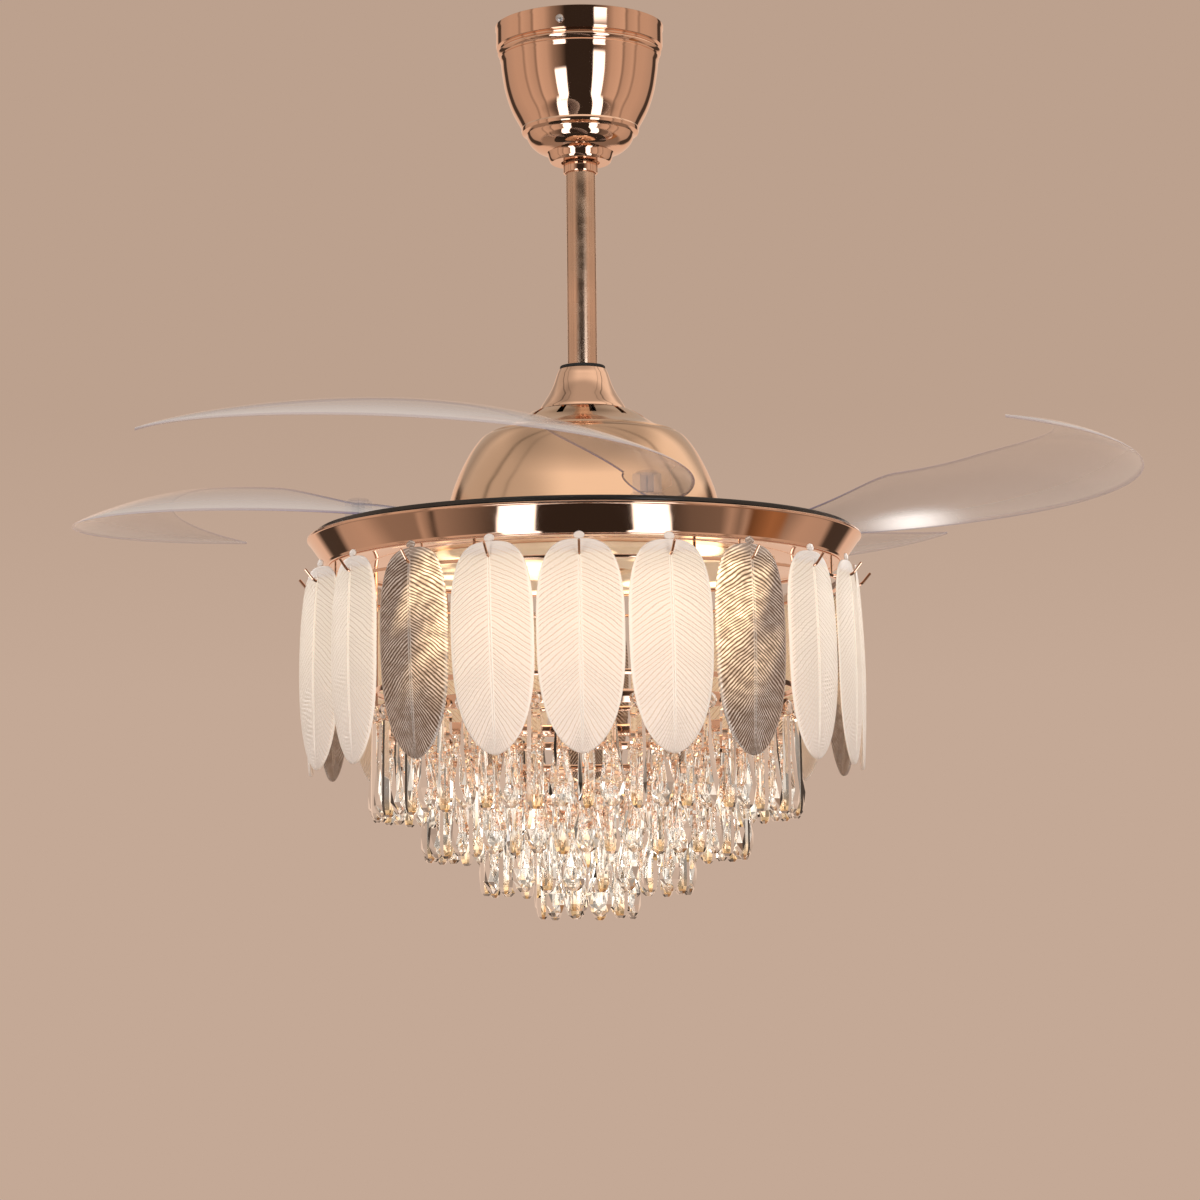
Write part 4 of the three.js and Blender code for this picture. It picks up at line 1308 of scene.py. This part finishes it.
    def build(self) -> None:
        """Makes the feathers, and the ring, struts and hooks that carry them."""
        hook_height = Node("feather_01").top - self.hole_drop
        radius = self.ring_radius + self.reach + 0.3 * MM
        for number in range(1, self.count + 1):
            name = f"feather_{number:02d}"
            leaf, marks = self.leaf(0.37 * number % 1.0, self.gleams[number > self.count / 2])
            points = (leaf.points + [0, 0, self.hole_drop]) @ turn_z(self.twist.get(number, 0.0)).T
            swing, sway = math.radians(self.skew.get(number, 0.0)), math.atan(self.lean)
            turned = points @ np.array(Matrix.Rotation(swing, 3, "Y")).T @ np.array(Matrix.Rotation(-sway, 3, "X")).T
            place = Skin(turned + [0, -radius, hook_height], leaf.quads)
            around = self.first + (number - 1) * 360.0 / self.count
            finish = SMOKED if number % 4 == 3 else FROSTED
            piece(f"glass_{name}", place.turned(around), finish, name, [name], 60.0, marks).visible_glossy = False
        frame = Node("feather_frame")
        flange = frame.top
        skins = [ring(section(self.ring_radius - inside, self.ring_radius - outside, top, bottom), 0.6 * MM, 200)
                 for inside, outside, top, bottom in (
                     (8 * MM, 1.8 * MM, flange, flange - 2 * MM),
                     (3 * MM, 0.0, hook_height + 1.5 * MM, hook_height - 1.5 * MM))]
        strut = np.array([[self.ring_radius - 2.2 * MM, 0, z] for z in np.linspace(flange - 1 * MM, hook_height, 5)])
        skins.append(sweep(strut, 1.0 * MM, 8).spread(FRONT + self.first + np.arange(10) * 36.0))
        skins.append(self.hooks(hook_height, radius))
        piece("hook_ring", together(skins), ROSE_GOLD, "fan", ["feather_frame"]).visible_glossy = False


# ------------------------------------------------------------------------------------------------ crystals
class Cut(Enum):
    """How a stone is cut: (share of the length, share of the width) for each ring of facets, from its top."""

    BAR = ((0.0, 0.4), (0.03, 0.82), (0.40, 0.94), (0.86, 1.0), (0.93, 0.9), (0.975, 0.68), (1.0, 0.36))
    DROP = ((0.0, 0.16), (0.06, 0.26), (0.42, 0.56), (0.76, 1.0), (0.88, 0.94), (0.96, 0.66), (1.0, 0.34))
    BEAD = ((0.0, 0.3), (0.22, 0.85), (0.5, 1.0), (0.78, 0.85), (1.0, 0.3))


@dataclass(frozen=True)
class Tier:
    """One ring of crystals: its number, its radius, the height of its band and the count of its stones."""

    number: int
    radius: float
    ring_height: float
    count: int


@dataclass
class CrystalTiers:
    """Four stepped rings of cut crystals, each a bead and a pendant, with the rose-gold frame that carries them.

    Args:
        bar, drop, bead: width and depth of each kind of stone.
        bead_height: of a bead.
        ring_wall: thickness of the rings.
        wire: thickness of the hoops' wire, from its middle.
        ribs: ribs between one ring and the next.
        turn_range: how far, in degrees, a stone may be turned on its wire.
        tiers: the four rings.
    """

    bar: tuple[float, float] = (16.5 * MM, 12.5 * MM)
    drop: tuple[float, float] = (24.0 * MM, 15.0 * MM)
    bead: tuple[float, float] = (14.0 * MM, 7.0 * MM)
    bead_height: float = 13.5 * MM
    ring_wall: float = 2.4 * MM
    wire: float = 0.45 * MM
    ribs: int = 6
    turn_range: float = 14.0
    tiers: tuple[Tier, ...] = (
        Tier(1, 197 * MM, 12 * MM, 54), Tier(2, 148 * MM, 7 * MM, 42), Tier(3, 95 * MM, 7 * MM, 24),
        Tier(4, 43.4 * MM, 7 * MM, 12),
    )

    @staticmethod
    def stones(cut: Cut, size: tuple[float, float, float], places: Array, turns: Array) -> Skin:
        """Many stones of one cut.

        Each ring of facets has eight corners on an ellipse, and every second ring of a drop is turned half a step, so
        that its facets are kites.

        Args:
            cut: the cut.
            size: width, depth and height.
            places: the top of each stone, shape (n, 3).
            turns: each stone's turn about its own axis, in radians.

        Returns:
            All the stones.
        """
        level = np.array(cut.value)
        half_step = 0.0 if cut is Cut.BAR else 0.5
        angle = np.radians(45.0 * (np.arange(8)[None, :] + half_step * (np.arange(len(level)) % 2)[:, None]) + 22.5)
        local = np.stack([size[1] / 2 * level[:, 1:] * np.cos(angle), size[0] / 2 * level[:, 1:] * np.sin(angle),
                          -size[2] * level[:, :1] + 0 * angle], axis=-1)
        stone = loft(local)
        out = np.arctan2(places[:, 1], places[:, 0]) + turns
        c, z = np.cos(out), np.zeros_like(out)
        spin = np.stack([np.stack([c, -np.sin(out), z], -1), np.stack([np.sin(out), c, z], -1),
                         np.stack([z, z, z + 1], -1)], axis=1)
        points = np.einsum("kij,nj->kni", spin, stone.points) + places[:, None]
        shifts = np.arange(len(places))[:, None, None] * len(stone.points)
        return Skin(points.reshape(-1, 3), (stone.quads[None] + shifts).reshape(-1, 4))

    @staticmethod
    def along(cut: Cut, count: int) -> Array:
        """Each point's share of its stone's length, for `count` stones."""
        return np.tile(np.repeat(np.array(cut.value)[:, 0], 8), count)

    def links(self, tier: Tier, top: float) -> Skin:
        """The small wire hoops from ring to bead to pendant.

        Args:
            tier: the ring of crystals.
            top: height of its pendants' tops.

        Returns:
            The hoops of one stone, on the X axis.
        """
        turn = np.linspace(0, np.pi, 7)[:, None]
        hoops = []
        for middle, half, foot, height in ((2.4, 3.2, 11.0, 2.5), (2.6, 2.6, -0.5, -2.2)):
            radius = tier.radius + (middle + half * np.cos(turn)) * MM
            hoop = np.hstack([radius, 0 * turn, top + (foot + height * np.sin(turn)) * MM])
            hoops.append(sweep(hoop, self.wire, 6))
        return together(hoops)

    def build(self) -> None:
        """Makes each tier's crystals, and the frame with every tier's links."""
        links = []
        chance = np.random.default_rng(7)
        for tier in self.tiers:
            node = Node(f"crystals_{tier.number}")
            top, bottom = node.top - 1.2 * MM, node.bottom
            step = 2 * np.pi / tier.count
            around = (np.arange(tier.count) + 0.5) * step
            turns = np.radians(chance.uniform(-self.turn_range, self.turn_range, tier.count))
            outward = np.stack([np.cos(around), np.sin(around), 0 * around], axis=1)
            places = outward * tier.radius + [0, 0, top]
            length = top - bottom
            skins = [
                self.stones(Cut.BAR, (*self.bar, length), places[::2], turns[::2]),
                self.stones(Cut.DROP, (*self.drop, length - 1.5 * MM), places[1::2], turns[1::2]),
                self.stones(Cut.BEAD, (*self.bead, self.bead_height),
                            outward * (tier.radius + 5.4 * MM) + [0, 0, top + 12 * MM], 0.4 * turns),
            ]
            shares = [self.along(Cut.BAR, tier.count // 2), self.along(Cut.DROP, tier.count // 2) * 0.86,
                      self.along(Cut.BEAD, tier.count) * 0.5 + 0.3]
            piece(f"cut_crystals_{tier.number}", together(skins), CRYSTAL, "fan", [node.name], crease=0.0,
                  marks={"along": np.concatenate(shares)})
            links.append(self.links(tier, top).spread(np.degrees(around)))
        piece("tier_rings", together([self.frame(), *links]), ROSE_GOLD, "fan", ["tier_frame"])

    def frame(self) -> Skin:
        """The rings, and the ribs that step in from one to the next.

        Returns:
            The gilt frame without its links.
        """
        skins, half = [], self.ring_wall / 2
        corner_list = [(self.tiers[0].radius, Node("lamp_plate").bottom - 0.3 * MM)]
        for tier in self.tiers:
            bottom = Node(f"crystals_{tier.number}").top + 0.3 * MM
            spans = [(bottom, tier.ring_height)] + ([(bottom + 25 * MM, 5 * MM)] if tier.number == 1 else [])
            for foot, height in spans:
                corners = section(tier.radius - half, tier.radius + half, foot + height, foot)
                skins.append(ring(corners, 0.5 * MM, 144, 3))
            corner_list.append((tier.radius, bottom + tier.ring_height / 2))
        for (r0, z0), (r1, z1) in zip(corner_list[:-1], corner_list[1:]):
            share = np.linspace(0, 1, 4)
            path = np.stack([r0 + (r1 - r0) * share, 0 * share, z0 + (z1 - z0) * share], axis=1)
            skins.append(sweep(path, 1.8 * MM, 8, 0.8).spread(np.arange(self.ribs) * 360.0 / self.ribs))
        return together(skins)


# ------------------------------------------------------------------------------------------------ studio
Stops = tuple[tuple[float, float], ...]


@dataclass
class Studio:
    """Backdrop, floor, lamps and camera.

    The room is seen only where it is mirrored. A direction in it is given by `share`, its angle round from the camera
    as a share of half a turn, and by z, the sine of its elevation. Each Stops field runs round the room: (share,
    brightness as a part of the wall's, the ceiling's or the patch's colour).

    Args:
        wall, ceiling, orange: the room's colours, linear.
        backdrop: the backdrop's colour above and below the middle of the picture.
        lamp_light, haze: colours of the lamps and of the soft light all round.
        floor_colour, floor_height, floor_reach: the floor, well below the hanging fan.
        glint: tint of the room where it is refracted.
        fill, room_light, glint_light: strength of the soft light all round, of the mirrored room and of the glints.
        zenith_light: the mirrored room's strength high up.
        zenith: the z between which the mirrored room's strength eases to that.
        spread: how much further apart the softboxes' feet stand than their heads, as a share of half a turn.
        steep: the z between which they spread.
        box_ends: the z between which the softboxes end, and how much lower they end on the right.
        floor_edge, ceiling_edge: the z between which the floor and the ceiling meet the walls.
        ceiling_split: the x between which the ceiling's left and right parts meet.
        glint_pace: how fast the pattern of glints runs round the room and up it.
        picture_slope: height in the picture for each unit of z.
        backdrop_ends: the heights in the picture that the backdrop's two colours stand at.
        softbox_heads, softbox_feet: where a softbox starts and ends, high up and low down.
        unlit: the unlit room between the softboxes.
        sides: the room beyond the softboxes.
        left_floor, right_floor, patch: the room low down on each side, and its orange patch.
        joints: the ceiling and its dark joints.
        ceiling_tones: the ceiling's brightness on the left and on the right.
        glints: what is refracted, along a pattern that folds back on itself.
        lens, camera_place, tilt, pan, roll: the camera.
    """

    wall: Colour = (0.515, 0.362, 0.272)
    ceiling: Colour = (0.40, 0.33, 0.27)
    orange: Colour = (0.135, 0.062, 0.027)
    backdrop: tuple[Colour, Colour] = ((0.503, 0.356, 0.270), (0.552, 0.396, 0.305))
    lamp_light: Colour = (1.0, 0.96, 0.92)
    haze: Colour = (1.0, 0.97, 0.94)
    floor_colour: Colour = (0.62, 0.5, 0.42)
    floor_height: float = -2.3
    floor_reach: float = 3.5
    glint: Colour = (1.0, 0.88, 0.755)
    fill: float = 0.55
    room_light: float = 2.6
    zenith_light: float = 1.35
    glint_light: float = 1.45
    zenith: tuple[float, float] = (0.66, 0.88)
    spread: float = 0.075
    steep: tuple[float, float] = (-0.5, -0.85)
    box_ends: tuple[float, float, float] = (-0.14, -0.07, 0.16)
    floor_edge: tuple[float, float] = (-0.62, -0.50)
    ceiling_edge: tuple[float, float] = (0.28, 0.36)
    ceiling_split: tuple[float, float] = (-0.75, -0.2)
    glint_pace: tuple[float, float] = (2.6, 1.1)
    picture_slope: float = -1.6
    backdrop_ends: tuple[float, float] = (0.233, 0.356)
    softbox_heads: tuple[float, float] = (0.116, 0.204)
    softbox_feet: tuple[float, float] = (0.115, 0.232)
    unlit: Stops = ((0.0, 0.026), (0.108, 0.026))
    sides: Stops = ((0.213, 0.24), (0.27, 0.46), (0.355, 0.54), (0.372, 0.22), (0.395, 0.42), (0.47, 0.50),
                    (0.495, 0.28), (0.515, 0.46), (0.60, 0.46), (0.74, 0.38), (0.76, 0.05), (0.82, 0.05),
                    (0.85, 0.6), (1.0, 0.6))
    left_floor: Stops = ((0.242, 0.06), (0.30, 0.13), (0.42, 0.26), (0.435, 0.06), (0.45, 0.24), (0.475, 0.4),
                         (0.49, 0.22), (0.70, 0.25), (1.0, 0.25))
    right_floor: tuple[Stops, Stops] = (((0.242, 0.06), (0.30, 0.13), (0.39, 0.16), (0.42, 0.36), (0.45, 0.2),
                                         (0.47, 0.34)), ((0.62, 0.2), (1.0, 0.19)))
    patch: Stops = ((0.49, 0.5), (0.56, 1.1), (0.60, 0.9))
    joints: Stops = ((0.0, 1.0), (0.30, 1.0), (0.40, 0.95), (0.415, 0.55), (0.43, 0.90), (0.52, 0.95), (0.532, 0.30),
                     (0.542, 0.45), (0.56, 0.90), (0.72, 0.95), (0.80, 0.50), (1.0, 0.45))
    ceiling_tones: tuple[float, float] = (0.58, 1.0)
    glints: Stops = ((0.0, 0.10), (0.06, 0.20), (0.16, 0.40), (0.26, 0.50), (0.34, 0.60), (0.40, 1.0), (0.5, 1.0))
    lens: float = 106.81
    camera_place: tuple[float, float, float] = (0.0, -3.33375, -0.9416)
    tilt: float = 6.622
    pan: float = -0.245
    roll: float = -0.6

    def build(self) -> None:
        """Makes the whole studio."""
        self.camera()
        self.world()
        self.floor()
        self.lamps()
        bpy.context.scene.view_settings.view_transform = "Standard"

    def camera(self) -> None:
        """A long lens from below, tilted up at the fan and rolled slightly."""
        data = bpy.data.cameras.new("camera")
        data.lens, data.sensor_width = self.lens, 36.0
        camera = bpy.data.objects.new("camera", data)
        bpy.context.scene.collection.objects.link(camera)
        pan, tilt, roll = (math.radians(v) for v in (self.pan, self.tilt, self.roll))
        facing = Matrix.Rotation(pan, 4, "Z") @ Matrix.Rotation(math.pi / 2 + tilt, 4, "X")
        camera.matrix_world = Matrix.Translation(self.camera_place) @ facing @ Matrix.Rotation(roll, 4, "Z")
        bpy.context.scene.camera = camera

    def world(self) -> None:
        """Soft white light all round, the backdrop where it is seen, and the room where it is mirrored or refracted.

        `share` is |atan2(x, -y)| / pi, less the softboxes' spread where the direction points steeply down.
        """
        world = bpy.data.worlds.new("studio")
        bpy.context.scene.world = world
        world.use_nodes = True
        tree = Tree(world.node_tree)
        x, y, z = tree.add("SeparateXYZ", {0: tree.add("TexCoord", {}, "Generated")}).node.outputs
        away = tree.reckon("ABSOLUTE", tree.reckon("ARCTAN2", x, tree.product(y, -1.0)), 0.0)
        share = tree.reckon("SUBTRACT", tree.reckon("DIVIDE", away, math.pi),
                            tree.eased(z, *self.steep, 0.0, self.spread))
        mirrored = self.room(tree, x, z, share)
        turning, rising = self.glint_pace
        pattern = tree.reckon("ADD", tree.product(share, turning), tree.product(z, rising))
        sparkle = tree.reckon("PINGPONG", pattern, 0.5)
        rays = tree.add("LightPath", {}).node.outputs
        reflected, refracted = (tree.reckon("GREATER_THAN", rays[f"{kind} Depth"], 0.5)
                                for kind in ("Glossy", "Transmission"))
        picture_height = tree.add("Math", {0: z, 1: self.picture_slope, 2: 0.5}, operation="MULTIPLY_ADD")
        backdrop = tree.ramp(picture_height, list(zip(self.backdrop_ends, self.backdrop)))
        haze, seen, mirror, bent = (
            tree.add("Background", {"Color": colour, "Strength": strength}) for colour, strength in (
                (self.haze, self.fill), (backdrop, 1.0),
                (mirrored, tree.eased(z, *self.zenith, self.room_light, self.zenith_light)),
                (tree.ramp(sparkle, self.tinted(self.glints, self.glint)), self.glint_light)))
        shown = tree.add("MixShader", {0: rays["Is Camera Ray"], 1: haze, 2: seen})
        shown = tree.add("MixShader", {0: reflected, 1: shown, 2: mirror})
        shown = tree.add("MixShader", {0: refracted, 1: shown, 2: bent})
        tree.feed(tree.tree.nodes["World Output"].inputs["Surface"], shown)

    @staticmethod
    def tinted(stops: Stops, colour: Colour, tone: float = 1.0) -> list[tuple[float, Array]]:
        """Stops with the colour that each part of it gives."""
        return [(place, part * tone * np.array(colour)) for place, part in stops]

    def room(self, tree: Tree, x: object, z: object, share: object) -> object:
        """The mirrored room: the wall, two tall softboxes each side of the camera, and the pale ceiling.

        The softboxes reach lower down on the right, and low down each side has its own floor.

        Args:
            tree: the world's nodes.
            x, z: parts of the direction.
            share: the direction's angle round from the camera, as a share of half a turn.

        Returns:
            The room's colour.
        """
        white = (1.0, 1.0, 1.0)
        unlit, sides = self.tinted(self.unlit, self.wall), self.tinted(self.sides, self.wall)
        boxes, feet = (self.tinted(((start, 1.0), (end, 1.0)), white)
                       for start, end in (self.softbox_heads, self.softbox_feet))
        bright = tree.ramp(share, [*unlit, *boxes, *sides])
        dim = tree.ramp(share, [*unlit, *self.tinted(((0.15, 0.12),), self.wall), *sides])
        near, far = (self.tinted(stops, self.wall) for stops in self.right_floor)
        left = tree.ramp(share, [*unlit, *feet, *self.tinted(self.left_floor, self.wall)])
        right = tree.ramp(share, [*unlit, *feet, *near, *self.tinted(self.patch, self.orange), *far])
        rightwards = tree.reckon("GREATER_THAN", x, 0.0)
        low, high, drop = self.box_ends
        level = tree.reckon("SUBTRACT", z, tree.product(rightwards, drop))
        walls = tree.blend(tree.eased(level, low, high), bright, dim)
        walls = tree.blend(tree.eased(z, *self.floor_edge), tree.blend(rightwards, left, right), walls)
        above = [tree.ramp(share, self.tinted(self.joints, self.ceiling, tone)) for tone in self.ceiling_tones]
        above = tree.blend(tree.eased(x, *self.ceiling_split), *above)
        return tree.blend(tree.eased(z, *self.ceiling_edge), walls, above)

    def floor(self) -> None:
        """A plain pale floor, far below the fan. What is mirrored looks past it into the room."""
        reach = self.floor_reach
        corners = [(-reach, -reach), (reach, -reach), (reach, reach), (-reach, reach)]
        mesh = bpy.data.meshes.new("floor")
        mesh.from_pydata([(x, y, self.floor_height) for x, y in corners], [], [(0, 1, 2, 3)])
        graph = Graph("pale_floor")
        graph.set(Base_Color=self.floor_colour, Roughness=0.9)
        depth = graph.add("LightPath", {}, "Glossy Depth")
        mix = graph.add("MixShader", {0: depth, 1: graph.shader.outputs[0], 2: graph.add("BsdfTransparent", {})})
        graph.feed(graph.tree.nodes["Material Output"].inputs["Surface"], mix)
        mesh.materials.append(graph.material)
        floor = bpy.data.objects.new("floor", mesh)
        bpy.context.scene.collection.objects.link(floor)

    def lamps(self) -> None:
        """Softboxes: a tall one each side of the camera and one each side behind the fan."""
        middle = np.array([0.0, 0.0, -0.45])
        boxes = (
            ("left_softbox", (-1.45, -2.5, -0.2), (0.7, 1.8), 24.0),
            ("right_softbox", (1.45, -2.5, -0.1), (0.7, 1.8), 28.0),
            ("back_left", (-1.9, 1.9, 0.6), (0.6, 1.2), 20.0),
            ("back_right", (1.9, 1.7, 0.5), (0.6, 1.2), 20.0),
        )
        for name, place, size, power in boxes:
            data = bpy.data.lights.new(name, "AREA")
            data.shape, data.size, data.size_y, data.energy = "RECTANGLE", size[0], size[1], power
            data.color = self.lamp_light
            lamp = bpy.data.objects.new(name, data)
            bpy.context.scene.collection.objects.link(lamp)
            lamp.visible_glossy = False
            away = Matrix.Translation(np.array(place) - middle).to_translation()
            lamp.location = place
            lamp.rotation_euler = away.to_track_quat("Z", "Y").to_euler()


# ------------------------------------------------------------------------------------------------ plain solids
def dress_nodes(frame: dict) -> None:
    """Gives every plain solid of the frame the finish of its slot.
    """
    slots = {entry["node"]: entry["material_slot"] for entry in frame["record"]["subparts"]}
    for name, node in frame["nodes"].items():
        finish = NODE_FINISHES[slots[name]]
        node.data.materials.clear()
        node.data.materials.append(finish.material())
        log.info("%s: %s", name, finish.name)


def main() -> None:
    """Builds the studio and then the fan, from the ceiling down."""
    logging.basicConfig(level=logging.INFO, format="%(name)s %(message)s")
    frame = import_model()
    Studio().build()
    dress_nodes(frame)
    for assembly in (Canopy(), DropRod(), Dome(), Drum(), BladeSet(), FeatherCurtain(), CrystalTiers()):
        assembly.build()


if __name__ == "__main__":
    main()
